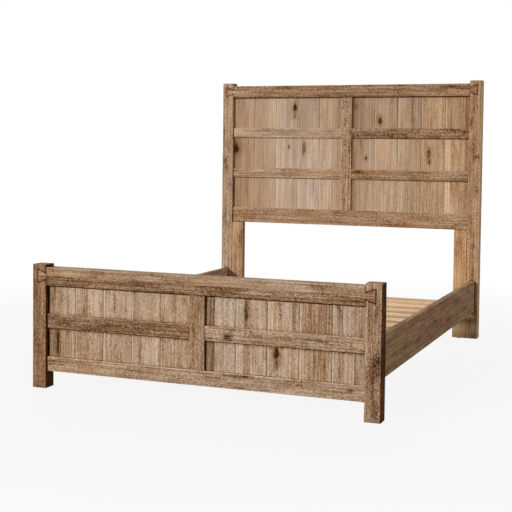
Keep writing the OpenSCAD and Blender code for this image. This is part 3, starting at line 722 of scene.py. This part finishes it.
def nearness(points, others):
    """Distance and way from each point to the nearest of the other pieces, up to the reach."""
    corners, faces = [], []
    for other in others:
        other_points, other_faces = triangles(other)
        faces += (other_faces + len(corners)).tolist()
        corners += other_points.tolist()
    tree = BVHTree.FromPolygons(corners, faces, all_triangles=True)
    far, way = np.full(len(points), REACH), np.zeros((len(points), 3))
    for index, point in enumerate(points.tolist()):
        hit, _, _, distance = tree.find_nearest(point, REACH)
        if hit is not None:
            far[index], way[index] = distance, np.array(hit) - point
    return far, way


def shaded_side(node, points, way):
    """Where a piece lies below or to the right of what stands proud, the side that a light from
    the upper left leaves in shade; None if it is all alike.
    """
    middle = (BOXES[node][0] + BOXES[node][1]) / 2
    if is_board(node):
        return (way[:, Z] > np.abs(way[:, X])) | (-way[:, X] > np.abs(way[:, Z]))
    if "mid_rail" in node or "bottom_rail" in node:
        return points[:, Z] < middle[Z]
    if "stile" in node:
        return points[:, X] > middle[X]
    return None


def board_joints(node):
    """Where a board's face meets the boards beside it, from the overlap of their boxes."""
    end, number = node.rsplit("_", 1)
    low, high = BOXES[node]
    joints = []
    for other in (int(number) - 1, int(number) + 1):
        beside = BOXES.get(f"{end}_{other}")
        if beside and beside[0][X] < high[X] and beside[1][X] > low[X]:
            joints.append((max(low[X], beside[0][X]) + min(high[X], beside[1][X])) / 2)
    return joints or [NOWHERE]


def distance_to_joint(node, points):
    """How far across a board each point is from the nearest joint."""
    return np.abs(points[:, X, None] - np.array(board_joints(node))).min(1)


def arris_share(points, node, grain, box):
    """1 on the long corners of a timber, 0 a few millimetres away."""
    if is_board(node):
        side = distance_to_joint(node, points)
        return np.clip(1.4 - side / BEVEL, 0, 1) * (points[:, Y] < box[0][Y] + BEVEL_DEPTH)
    gaps = [np.abs(points[:, axis] - end[axis])
            for axis in (X, Y, Z) if axis != grain for end in box]
    gaps = np.sort(np.stack(gaps, 1), axis=1)
    return np.clip(1.25 - gaps[:, 1] / ARRIS, 0, 1) * (gaps[:, 0] < ARRIS_DEPTH)


def mesh_from(name, points, faces):
    mesh = bpy.data.meshes.new(name)
    mesh.from_pydata(points.tolist(), [], faces.tolist())
    mesh.update()
    return mesh


def object_from(name, mesh):
    made = bpy.data.objects.new(name, mesh)
    bpy.context.scene.collection.objects.link(made)
    return made


def store(mesh, name, values):
    mesh.attributes.new(name, "FLOAT", "POINT").data.foreach_set(
        "value", np.asarray(values, np.float32))


def delete_outside(solid, box):
    low, high = box
    outside = [point for point in solid.verts
               if (np.array(point.co) < low - SAME_PLACE).any()
               or (np.array(point.co) > high + SAME_PLACE).any()]
    bmesh.ops.delete(solid, geom=outside, context="VERTS")


def cut_finely(solid, node, grain, box, settings):
    """Cuts a timber into cells, with further cuts beside every joint."""
    low, high = box
    joints = {axis: [] for axis in (X, Y, Z)}
    for other in neighbours(node):
        if other.endswith(SMALL_FITTINGS):
            continue
        for corner in BOXES[other]:
            for axis in (X, Y, Z):
                joints[axis] += [corner[axis] - JOINT_LINE, corner[axis] + JOINT_LINE]
    for axis in (grain, *[other for other in (X, Y, Z) if other != grain]):
        size = high[axis] - low[axis]
        cell = settings.cell_long if axis == grain else settings.cell_wide
        near = NEAR_ENDS if axis == grain else NEAR_SIDES
        if size < THIN:
            near = NEAR_THIN if size > THINNEST else (size / 2,)
        offsets = cut_offsets(low[axis], high[axis], cell, near, thinned(joints[axis]))
        cut_faces(solid, list(solid.faces), axis, offsets)
    if node.endswith(("post_left", "post_right", "top_rail")):
        cut_dovetails(solid, node)
    bmesh.ops.triangulate(solid, faces=[face for face in solid.faces if len(face.verts) > 4])


def shallow_bevels(node, points, front):
    """Moves the points of a board's bevels nearer to its front."""
    near = distance_to_joint(node, points) < BEVEL_ZONE
    near &= points[:, Y] < front + BEVEL_ZONE
    points[near, Y] = front + (points[near, Y] - front) * BEVEL_KEPT


def store_wear_and_shade(mesh, node, facts, points, box, reach):
    """Stores on each point how far it is an arris, how much painted shade its joints give it, and
    how free of its neighbours.
    """
    others = neighbours(node)
    gap, way = nearness(points, others)
    arris, shade_distance = arris_share(points, node, facts["grain"], box), gap
    if is_board(node):
        shade_distance, way = nearness(points, [other for other in others if not is_board(other)])
    crevice = np.clip(1.0 - shade_distance / (reach * facts.get("spread", 1.0)), 0, 1) ** 2
    shaded = shaded_side(node, points, way)
    # painted shade: joints darker below and to the right of what stands proud, as under a light
    # from the upper left; a batten's corners lighter only on its lit side, a painted highlight
    if shaded is not None:
        crevice *= np.where(shaded, 1.0, AGAINST_LIGHT_SHARE)
        if not is_board(node):
            arris *= np.where(shaded, AGAINST_LIGHT_SHARE, 1.0)
    store(mesh, "arris", arris)
    store(mesh, "crevice", crevice)
    store(mesh, "free", np.clip((gap - HELD) / FREE, 0, 1))


def fine_timber(node, facts, settings, only=None):
    """A finely cut copy of a CAD timber, with its arris, painted joint shade and free shares
    stored.
    only is a box: what lies outside it is left out."""
    solid = solid_copy(node)
    box = only or BOXES[node]
    if only:
        delete_outside(solid, box)
    cut_finely(solid, node, facts["grain"], box, settings)
    mesh = bpy.data.meshes.new(f"oak_{node}")
    solid.to_mesh(mesh)
    solid.free()
    points = np.zeros(len(mesh.vertices) * 3)
    mesh.vertices.foreach_get("co", points)
    points = points.reshape(-1, 3)
    if is_board(node):
        shallow_bevels(node, points, box[0][Y])
        mesh.vertices.foreach_set("co", points.ravel())
    store_wear_and_shade(mesh, node, facts, points, box, settings.crevice_shade_reach)
    mesh.shade_smooth()
    return mesh


# ---------- geometry trees ----------

def worn(shape, geometry):
    """Moves the free surface inwards by a slow wave, and the arrises by a quicker one."""
    place = shape.node("GeometryNodeInputPosition") * shape.given("Grain") + shape.given("Seed")
    corner = shape.named("arris") * shape.noise(place, scale=5.0, detail=1.0)
    depth = shape.noise(place) * shape.given("Wave depth") + corner * shape.given("Arris wear")
    offset = shape.node("GeometryNodeInputNormal") * (depth * shape.named("free") * -1.0)
    return shape.node("GeometryNodeSetPosition", None, {"Geometry": geometry, "Offset": offset})


WORN_INPUTS = [("Grain", "Vector"), ("Seed", "Vector"), ("Wave depth", "Float"),
               ("Arris wear", "Float")]


def worn_timber_tree():
    shape = Shape("worn_timber", WORN_INPUTS)
    return shape.close(worn(shape, shape.given("Geometry")))


def slat_row_tree():
    """One slat laid out along the bed, each then worn in its own way."""
    shape = Shape("slat_row", [*WORN_INPUTS, ("Count", "Int"), ("First", "Vector"),
                               ("Pitch", "Vector")])
    row = shape.node("GeometryNodeMeshLine", {"mode": "OFFSET"},
                     {"Count": shape.given("Count"), "Start Location": shape.given("First"),
                      "Offset": shape.given("Pitch")})
    laid = shape.node("GeometryNodeInstanceOnPoints", None,
                      {"Points": row, "Instance": shape.given("Geometry")})
    return shape.close(worn(shape, shape.real(laid)))


def set_out_tree():
    """A fitting repeated at the points of a mesh, each turned to its point's aim."""
    shape = Shape("set_out", [("Fitting", "Object")])
    fitting = shape.node("GeometryNodeObjectInfo", None, {"Object": shape.given("Fitting")},
                         "Geometry")
    aimed = shape.node("FunctionNodeAlignRotationToVector", {"axis": "Z"},
                       {"Vector": shape.named("aim", "FLOAT_VECTOR")})
    spin = shape.node("FunctionNodeAxisAngleToRotation", None,
                      {"Axis": (0, 0, 1), "Angle": shape.named("spin")})
    spun = shape.node("FunctionNodeRotateRotation", {"rotation_space": "LOCAL"},
                      {"Rotation": aimed, "Rotate By": spin})
    return shape.close(shape.node("GeometryNodeInstanceOnPoints", None, {
        "Points": shape.given("Geometry"), "Instance": fitting, "Rotation": spun}))


def tree_called(name, maker):
    return bpy.data.node_groups.get(name) or maker()


def made_plain(source, tree, name, **values):
    """Runs the tree on an object and leaves its result as a plain mesh under the name."""
    modifier = source.modifiers.new("shape", "NODES")
    modifier.node_group = tree
    identifiers = {item.name: item.identifier for item in tree.interface.items_tree
                   if item.in_out == "INPUT"}
    for label, value in values.items():
        modifier[identifiers[label.replace("_", " ")]] = value
    seen = source.evaluated_get(bpy.context.evaluated_depsgraph_get())
    mesh = bpy.data.meshes.new_from_object(seen)
    source.modifiers.remove(modifier)
    old, source.data = source.data, mesh
    source.name = mesh.name = name
    bpy.data.meshes.remove(old)
    return source


# ---------- finished pieces ----------

def colours_for(finish, slot):
    """The wood's colours from black to lightest, then red, tinted for the deck."""
    tint = finish.deck_tint if slot == "deck_wood" else (1.0, 1.0, 1.0)
    return [tuple(channel * share for channel, share in zip(colour, tint)) for colour in (
        finish.wood_black, finish.wood_dark, finish.wood_warm, finish.wood_pale,
        finish.wood_light, finish.wood_red)]


def grain_scale(grain):
    """Waves are long along the grain and short across it, in turns a metre."""
    scale = [22.0, 22.0, 22.0]
    scale[grain] = 4.5
    return scale


def seeded_facts(node, settings):
    """A timber's facts with its own seed and pith, drawn from its place in the list."""
    facts = dict(TIMBERS[node])
    draw = np.random.default_rng(settings.seed * 1000 + list(TIMBERS).index(node))
    facts["seed"] = float(draw.uniform(0, 40))
    facts["pith_side"] = float(draw.uniform(-0.05, 0.05))
    facts["pith_back"] = float(draw.uniform(0.03, 0.075))
    facts["front"] = float(BOXES[node][0][facts["depth"]]) + FACE_DEPTH
    return facts


def stands_for(piece, node):
    """Puts the piece in its CAD node's stead and on that node's body."""
    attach(piece, BODY_OF[node])
    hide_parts(node)


def finished_timber(mesh, name, node, tree, facts, box, finish, **values):
    """Wears a finely cut mesh, dresses it in its wood and puts it in its node's stead."""
    material = timber_finish(f"wood_{node}", facts, (box[0] + box[1]) / 2,
                             colours_for(finish, facts["slot"]))
    piece = made_plain(object_from(name, mesh), tree, name, Material=material,
                       Grain=grain_scale(facts["grain"]), **values)
    piece.data.set_sharp_from_angle(angle=math.radians(58))
    stands_for(piece, node)


def build_timber(node, settings, finish):
    facts = seeded_facts(node, settings)
    seed = facts["seed"]
    finished_timber(fine_timber(node, facts, settings), f"oak_{node}", node,
                    tree_called("worn_timber", worn_timber_tree), facts, BOXES[node], finish,
                    Seed=(seed, seed * 0.7, seed * 1.3), Wave_depth=settings.wave_depth,
                    Arris_wear=settings.arris_wear)


def build_timbers(context, *words):
    """Builds the timbers whose names hold one of the words."""
    for node in TIMBERS:
        if any(word in node for word in words):
            build_timber(node, context.scene.bed_timber, context.scene.bed_finish)


def components(node):
    """The separate solids of a node, each as the array of its points."""
    points, faces = triangles(node)
    points, index = np.unique(points.round(6), axis=0, return_inverse=True)
    faces = index.reshape(-1)[faces]
    label = np.arange(len(points))
    while True:
        lower = label.copy()
        np.minimum.at(lower, faces.ravel(), np.repeat(label[faces].min(1), 3))
        if (lower == label).all():
            return [points[label == value] for value in np.unique(label)]
        label = lower


def build_slats(settings, finish):
    """One slat, finely cut, then laid out in a row."""
    node = "slats"
    solids = [(points.min(0), points.max(0)) for points in components(node)]
    solids.sort(key=lambda box: box[0][Y])
    low, high = solids[0]
    pitch, first = float(solids[1][0][Y] - low[Y]), float(low[Y] + high[Y]) / 2
    facts = dict(seeded_facts(node, settings), pitch=pitch, first=first)
    mesh = fine_timber(node, facts, settings, only=(low, high))
    mesh.transform(Matrix.Translation((0.0, -first, 0.0)))
    finished_timber(mesh, "slat_row", node, tree_called("slat_row", slat_row_tree), facts,
                    (low, high), finish, Seed=(facts["seed"],) * 3,
                    Wave_depth=settings.wave_depth * 0.5, Arris_wear=settings.arris_wear * 0.5,
                    Count=len(solids), First=(0.0, first, 0.0), Pitch=(0.0, pitch, 0.0))


# ---------- fittings ----------

def spots(node, axis=None):
    """For each solid of a node: the middle of its widest end, the way that end faces and
    the solid's length. The axis is the longest one unless it is given."""
    found = []
    for points in components(node):
        ends = points.min(0), points.max(0)
        along = int(np.argmax(ends[1] - ends[0])) if axis is None else axis
        spread = [np.ptp(points[np.abs(points[:, along] - end[along]) < 1e-5], axis=0).sum()
                  for end in ends]
        high = spread[1] >= spread[0]
        middle, aim = (ends[0] + ends[1]) / 2, np.zeros(3)
        middle[along] = ends[int(high)][along]
        aim[along] = 1.0 if high else -1.0
        found.append((middle, aim, ends[1][along] - ends[0][along]))
    return found


def turned(name, rings, turns=24, hollow=False):
    """A closed mesh through rings (radius, height) about Z, from the top down. A radius may be
    an array with a value for each turn. A hollow one joins its last ring to its first."""
    angle = np.arange(turns) * (2 * math.pi / turns)
    points, faces, count = [], [], len(rings)
    for radius, height in rings:
        radius = np.broadcast_to(radius, turns)
        points += zip(radius * np.cos(angle), radius * np.sin(angle), [height] * turns)
    for k in range(count if hollow else count - 1):
        upper, lower = k * turns, (k + 1) % count * turns
        for j in range(turns):
            after = (j + 1) % turns
            faces.append((upper + j, lower + j, lower + after, upper + after))
    if not hollow:
        faces.append(tuple(range(turns)))
        faces.append(tuple(reversed(range((count - 1) * turns, count * turns))))
    mesh = bpy.data.meshes.new(name)
    mesh.from_pydata([tuple(map(float, point)) for point in points], [], faces)
    mesh.shade_smooth()
    mesh.set_sharp_from_angle(angle=math.radians(32))
    return mesh


def threaded(radius, depth, pitch, top, bottom, turns=24, steps=3):
    """Rings of a helical thread between two heights."""
    count = round((top - bottom) / pitch * steps)
    turn = np.arange(turns) / turns
    heights = np.linspace(top, bottom, count + 1)
    return [(radius - depth * np.abs((height / pitch + turn) % 1.0 * 2.0 - 1.0), height)
            for height in heights]


def hexagonal(corner, turns=24):
    """Radii of a hexagon round the turns."""
    degrees = np.arange(turns) * 360.0 / turns
    return corner * math.cos(math.radians(30)) / np.cos(np.radians(degrees % 60 - 30))


def cross_recess(arm, half_width, turns=24):
    """Radii of a cross round the turns: its corners fall on every fifteenth degree."""
    turn = np.radians(np.abs((np.arange(turns) * 360.0 / turns + 45) % 90 - 45))
    return np.where(turn <= math.atan2(half_width, arm) + 0.02, arm / np.cos(turn),
                    half_width / np.sin(np.maximum(turn, 0.05)))


def screw_mesh(length):
    """Countersunk wood screw hanging from its head's middle."""
    head, shank, cone, tip = 0.004, 0.002, 0.0026, 0.0001
    rings = [(cross_recess(0.0012, 0.00032), -0.0016), (cross_recess(0.00205, 0.00055), 0.0),
             (head - 0.0004, 0.0), (head, -0.00012), (head - 0.0001, -0.0003), (shank, -cone),
             (shank, -cone - 0.005)]
    rings += threaded(shank, 0.0005, 0.002, -cone - 0.006, 0.004 - length)
    return turned("screw", [*rings, (0.0009, 0.002 - length), (tip, -length)])


def bolt_mesh(length):
    """Domed bolt with a hexagonal socket, hanging from its head's top."""
    head, dome, shank, threads = 0.008, 0.004, 0.004, 0.021
    rings = [(hexagonal(0.0026), -0.0024), (hexagonal(0.0029), -0.0001), (0.0040, 0.0)]
    rings += [(head * math.sin(turn), -dome + dome * math.cos(turn))
              for turn in np.radians((42, 54, 66, 78, 88))]
    rings += [(head - 0.0003, -dome), (shank, -dome), (shank, -length + threads + 0.001)]
    rings += threaded(shank, 0.0005, 0.00125, -length + threads, -length + 0.001, steps=4)
    return turned("bolt", [*rings, (shank - 0.0012, -length)])


def nut_mesh(height):
    """Hexagon nut with both ends chamfered."""
    corner, bore, chamfer = 0.0074, 0.0041, 0.0004
    outer, rounded = hexagonal(corner), np.minimum(hexagonal(corner), corner * 0.9)
    return turned("nut", [(bore + chamfer, 0.0), (rounded - 0.0002, 0.0), (outer, -0.0011),
                          (outer, 0.0011 - height), (rounded - 0.0002, -height),
                          (bore + chamfer, -height), (bore, chamfer - height),
                          (bore, -chamfer)], hollow=True)


def glide_mesh(length):
    """Nail-on glide with its disc's rim rounded, the nail behind it."""
    disc, thick, nail = 0.012, 0.003, 0.0012
    rim = [(disc - 0.0012, 0.0), (disc - 0.0003, -0.0004), (disc, -0.0012),
           (disc, -thick + 0.0005), (disc - 0.0005, -thick), (nail, -thick),
           (nail, 0.0015 - length)]
    return turned("glide", [(0.0030, -0.0006), (0.0034, 0.0), *rim, (0.0002, -length)], turns=32)


def set_out(node, maker, material, axis=None, seed=0):
    """Repeats a fitting at every solid of a node, each turned at random where a seed is given."""
    found = spots(node, axis)
    template = object_from(f"template_{node}", maker(max(length for _, _, length in found)))
    cloud = mesh_from(node, np.array([middle for middle, _, _ in found]), np.zeros((0, 3), int))
    cloud.attributes.new("aim", "FLOAT_VECTOR", "POINT").data.foreach_set(
        "vector", np.array([aim for _, aim, _ in found], np.float32).ravel())
    draw = np.random.default_rng(seed)
    store(cloud, "spin", draw.uniform(0, 2 * math.pi, len(found)) if seed else [0] * len(found))
    piece = made_plain(object_from(node, cloud), tree_called("set_out", set_out_tree),
                       f"set_{node}", Material=material, Fitting=template)
    bpy.data.objects.remove(template)
    stands_for(piece, node)


def pad_rings(stem, turns):
    """A nylon pad with a hexagon moulded on it, open for the stem."""
    hexagon, pad, top, flange = 0.0095, 0.020, 0.0140, 0.0086
    waist = hexagonal(hexagon, turns)
    return [(stem + 0.0002, top), (np.minimum(waist, hexagon * 0.9), top),
            (waist, top - 0.0008), (waist, flange), (waist + 0.0006, flange - 0.0006),
            (0.0140, 0.0076), (0.0172, 0.0078), (0.0180, 0.0072), (0.0184, 0.0062),
            (0.0192, 0.0028), (pad, 0.0010), (pad - 0.0008, 0.0), (0.0140, 0.0),
            (0.0132, 0.0007)]


def stem_rings(stem, height, turns):
    """A threaded stem with its upper end chamfered, from its top down into the pad."""
    return [(stem - 0.0012, height), (stem - 0.0002, height - 0.0011),
            *threaded(stem, 0.0006, 0.0015, height - 0.0013, 0.0120, turns, 6)]


def build_levelling_foot(name, finish):
    """The pad and the threaded stem of one levelling foot, each a piece of its own."""
    node = f"leveling_foot_{name}"
    low, high = BOXES[node]
    foot = Matrix.Translation(((low[X] + high[X]) / 2, (low[Y] + high[Y]) / 2, low[Z]))
    stem, turns = 0.005, 48
    for kind, rings, slot, material in (
            ("pad", pad_rings(stem, turns), "dark_nylon", nylon_of(finish)),
            ("stem", stem_rings(stem, high[Z] - low[Z], turns), "zinc_steel", zinc_of(finish))):
        mesh = turned(f"levelling_{kind}_{name}", rings, turns)
        mesh.transform(foot)
        mesh.materials.append(material)
        stands_for(object_from(mesh.name, mesh), node)


def plate_steel(node, finish):
    """A CAD fitting whose shape is right gets its plating."""
    slots = frame["nodes"][node].data.materials
    slots.clear()
    slots.append(zinc_of(finish))


def zinc_finish(name, colours):
    finish = Finish(name)
    place = finish.place()
    spangle = finish.noise(place, scale=160.0)
    streak = finish.noise(place, scale=900.0, detail=1.0)
    stain = finish.noise(place, scale=34.0, detail=3.0)
    colour = finish.mix(spangle, rgba(colours.zinc, 0.78), rgba(colours.zinc, 1.18))
    colour = finish.mix(stain.rise(0.56, 0.72) * 0.4, colour, (0.30, 0.27, 0.22, 1.0))
    return finish.surface(Base_Color=colour, Metallic=0.92, Roughness=spangle * 0.22 + 0.30,
                          Normal=finish.bump(streak + spangle, 0.0001, 0.5))


def nylon_finish(name, colours):
    finish = Finish(name)
    place = finish.place()
    grain = finish.noise(place, scale=1800.0)
    scuff = finish.noise(place, scale=60.0, detail=4.0)
    colour = finish.mix(scuff.rise(0.5, 0.75) * 0.5, rgba(colours.nylon), (0.13, 0.12, 0.11, 1.0))
    return finish.surface(Base_Color=colour, Roughness=scuff * 0.25 + 0.38,
                          Normal=finish.bump(grain, 0.00012, 0.6))


def material_called(name, maker, colours):
    return bpy.data.materials.get(name) or maker(name, colours)


def zinc_of(colours):
    return material_called("zinc_plate", zinc_finish, colours)


def nylon_of(colours):
    return material_called("moulded_nylon", nylon_finish, colours)


# ---------- stage ----------

KEY_FROM = (-0.46, -0.80, 0.34)    # where each light stands, seen from the bed
SIDE_FROM = (0.92, -0.15, 0.36)
RIM_FROM = (-0.35, 0.72, 0.60)
SKY_AWAY, SKY_TOWARDS = 0.15, 1.8  # shares of the fill away from the key light and towards it
FLOOR_HALF = 30.0                  # half of the floor's side
FLOOR_BELOW = 0.0005               # how far the floor lies under the glides
SHEEN_FROM, SHEEN_TO = 1.6, 4.2    # distances between which the floor turns fully white


def add_camera(scene, settings):
    lens = bpy.data.cameras.new("view")
    lens.sensor_width, lens.lens, lens.shift_y = 36.0, settings.lens, settings.shift_y
    lens.clip_end = 100.0
    camera = object_from("view", lens)
    camera.matrix_world = Matrix.Translation(Vector(settings.place)) \
        @ Matrix.Rotation(settings.yaw, 4, "Z") \
        @ Matrix.Rotation(math.pi / 2 - settings.pitch, 4, "X") \
        @ Matrix.Rotation(settings.roll, 4, "Z")
    scene.camera = camera
    scene.view_settings.view_transform = "Standard"


def add_sun(name, energy, degrees, towards):
    sun = bpy.data.lights.new(name, "SUN")
    sun.energy = energy
    sun.angle = math.radians(degrees)
    object_from(name, sun).rotation_euler = Vector(towards).to_track_quat("Z", "Y").to_euler()


def add_light(scene, settings):
    """A key from the left, weak lights from the right and behind, a sky brighter to the left."""
    add_sun("key", settings.key, 9, KEY_FROM)
    add_sun("side", settings.side, 60, SIDE_FROM)
    add_sun("rim", settings.rim, 40, RIM_FROM)
    scene.world = bpy.data.worlds.new("studio")
    scene.world.use_nodes = True
    sky = Tree(scene.world.node_tree)
    aim = sky.node("ShaderNodeTexCoord", out="Generated")
    side = sky.node("ShaderNodeVectorMath", {"operation": "DOT_PRODUCT"}, {0: aim, 1: KEY_FROM},
                    "Value")
    level = sky.node("ShaderNodeMapRange", None, {"Value": side,
                                                  "To Min": settings.fill * SKY_AWAY,
                                                  "To Max": settings.fill * SKY_TOWARDS})
    soft = sky.node("ShaderNodeBackground", None, {"Color": (1.0, 0.94, 0.86, 1.0),
                                                   "Strength": level})
    white = sky.node("ShaderNodeBackground", None, {"Color": (1.0, 1.0, 1.0, 1.0)})
    seen = sky.node("ShaderNodeLightPath", out="Is Camera Ray").most(
        sky.node("ShaderNodeLightPath", out="Is Glossy Ray"))
    mixed = sky.node("ShaderNodeMixShader", None, {0: seen, 1: soft, 2: white})
    sky.node("ShaderNodeOutputWorld", None, {"Surface": mixed})


def floor_finish(name, colour):
    """Matt under the bed, and white to the camera farther off."""
    finish = Finish(name)
    cloud = finish.noise(finish.place(), scale=0.7)
    matt = finish.node("ShaderNodeBsdfDiffuse", None,
                       {"Color": finish.mix(cloud, rgba(colour), rgba(colour, 0.99))})
    glow = finish.node("ShaderNodeEmission", None, {"Color": (1, 1, 1, 1), "Strength": 1.0})
    x, y, _ = finish.split(finish.place())
    away = (x * x + y * y).root().rise(SHEEN_FROM, SHEEN_TO)
    seen = finish.node("ShaderNodeLightPath", out="Is Camera Ray") * (away * 0.10 + 0.90)
    return finish.close(finish.node("ShaderNodeMixShader", None, {0: seen, 1: matt, 2: glow}))


def add_floor(settings):
    corners = [(x * FLOOR_HALF, y * FLOOR_HALF, -FLOOR_BELOW)
               for x, y in ((-1, -1), (1, -1), (1, 1), (-1, 1))]
    floor = object_from("floor", mesh_from("floor", np.array(corners),
                                           np.array([(0, 1, 2), (0, 2, 3)])))
    floor.data.materials.append(floor_finish("floor", settings.floor))


# ---------- operators ----------

class BEDFRAME_OT_posts(bpy.types.Operator):
    """Build the four posts and the two leg boards"""
    bl_idname = "bedframe.posts"
    bl_label = "Posts"

    def execute(self, context):
        build_timbers(context, "_post_", "_leg_board_")
        return {"FINISHED"}


class BEDFRAME_OT_end_rails(bpy.types.Operator):
    """Build the rails, stiles and battens of both ends"""
    bl_idname = "bedframe.end_rails"
    bl_label = "End rails and stiles"

    def execute(self, context):
        build_timbers(context, "_top_rail", "_bottom_rail", "_center_stile", "_mid_rail_")
        return {"FINISHED"}


class BEDFRAME_OT_boards(bpy.types.Operator):
    """Build the grooved boards of both ends"""
    bl_idname = "bedframe.boards"
    bl_label = "Boards"

    def execute(self, context):
        build_timbers(context, "board_board_")
        return {"FINISHED"}


class BEDFRAME_OT_side_rails(bpy.types.Operator):
    """Build the side rails, their cleats, the centre beam and the support legs"""
    bl_idname = "bedframe.side_rails"
    bl_label = "Side rails, beam and legs"

    def execute(self, context):
        build_timbers(context, "side_rail_", "slat_cleat_", "center_beam", "support_leg_")
        return {"FINISHED"}


class BEDFRAME_OT_slats(bpy.types.Operator):
    """Lay the slats of the deck"""
    bl_idname = "bedframe.slats"
    bl_label = "Slats"

    def execute(self, context):
        build_slats(context.scene.bed_timber, context.scene.bed_finish)
        return {"FINISHED"}


class BEDFRAME_OT_fittings(bpy.types.Operator):
    """Plate the hook and slot plates, and set the screws, bolts and nuts"""
    bl_idname = "bedframe.fittings"
    bl_label = "Steel fittings"

    def execute(self, context):
        finish, seed = context.scene.bed_finish, context.scene.bed_timber.seed
        for node in ("rail_hook_plates", "post_slot_plates", "leg_inserts"):
            plate_steel(node, finish)
        zinc = zinc_of(finish)
        for node in ("plate_screws", "slat_screws", "cleat_screws"):
            set_out(node, screw_mesh, zinc, seed=seed)
        set_out("leg_bolts", bolt_mesh, zinc)
        set_out("leg_nuts", nut_mesh, zinc, axis=X)
        return {"FINISHED"}


class BEDFRAME_OT_feet(bpy.types.Operator):
    """Make the levelling feet and the floor glides"""
    bl_idname = "bedframe.feet"
    bl_label = "Levelling feet and glides"

    def execute(self, context):
        finish = context.scene.bed_finish
        for name in ("foot", "middle", "head"):
            build_levelling_foot(name, finish)
        set_out("floor_glides", glide_mesh, nylon_of(finish), axis=Z)
        return {"FINISHED"}


class BEDFRAME_OT_stage(bpy.types.Operator):
    """Set up the floor, the backdrop, the light and the camera"""
    bl_idname = "bedframe.stage"
    bl_label = "Stage"

    def execute(self, context):
        settings = context.scene.bed_stage
        add_camera(context.scene, settings)
        add_light(context.scene, settings)
        add_floor(settings)
        return {"FINISHED"}


class BEDFRAME_PT_panel(bpy.types.Panel):
    """Sizes, colours and pieces of the bed frame"""
    bl_idname = "BEDFRAME_PT_panel"
    bl_label = "Bed Frame"
    bl_space_type = "VIEW_3D"
    bl_region_type = "UI"
    bl_category = "Bed Frame"

    def draw(self, context):
        layout = self.layout
        for group in (context.scene.bed_timber, context.scene.bed_finish,
                      context.scene.bed_stage):
            box = layout.box()
            for name in group.__annotations__:
                box.prop(group, name)
        for operator in OPERATORS:
            layout.operator(operator.bl_idname)


SETTINGS = (BedTimberSettings, BedFinishSettings, BedStageSettings)
OPERATORS = (BEDFRAME_OT_posts, BEDFRAME_OT_end_rails, BEDFRAME_OT_boards,
             BEDFRAME_OT_side_rails, BEDFRAME_OT_slats, BEDFRAME_OT_fittings, BEDFRAME_OT_feet,
             BEDFRAME_OT_stage)


def register():
    for made in (*SETTINGS, *OPERATORS, BEDFRAME_PT_panel):
        bpy.utils.register_class(made)
    bpy.types.Scene.bed_timber = PointerProperty(type=BedTimberSettings)
    bpy.types.Scene.bed_finish = PointerProperty(type=BedFinishSettings)
    bpy.types.Scene.bed_stage = PointerProperty(type=BedStageSettings)


def unregister():
    del bpy.types.Scene.bed_stage, bpy.types.Scene.bed_finish, bpy.types.Scene.bed_timber
    for made in reversed((*SETTINGS, *OPERATORS, BEDFRAME_PT_panel)):
        bpy.utils.unregister_class(made)


def main():
    register()
    bpy.ops.bedframe.posts()
    bpy.ops.bedframe.end_rails()
    bpy.ops.bedframe.boards()
    bpy.ops.bedframe.side_rails()
    bpy.ops.bedframe.slats()
    bpy.ops.bedframe.fittings()
    bpy.ops.bedframe.feet()
    bpy.ops.bedframe.stage()


if __name__ == "__main__":
    main()
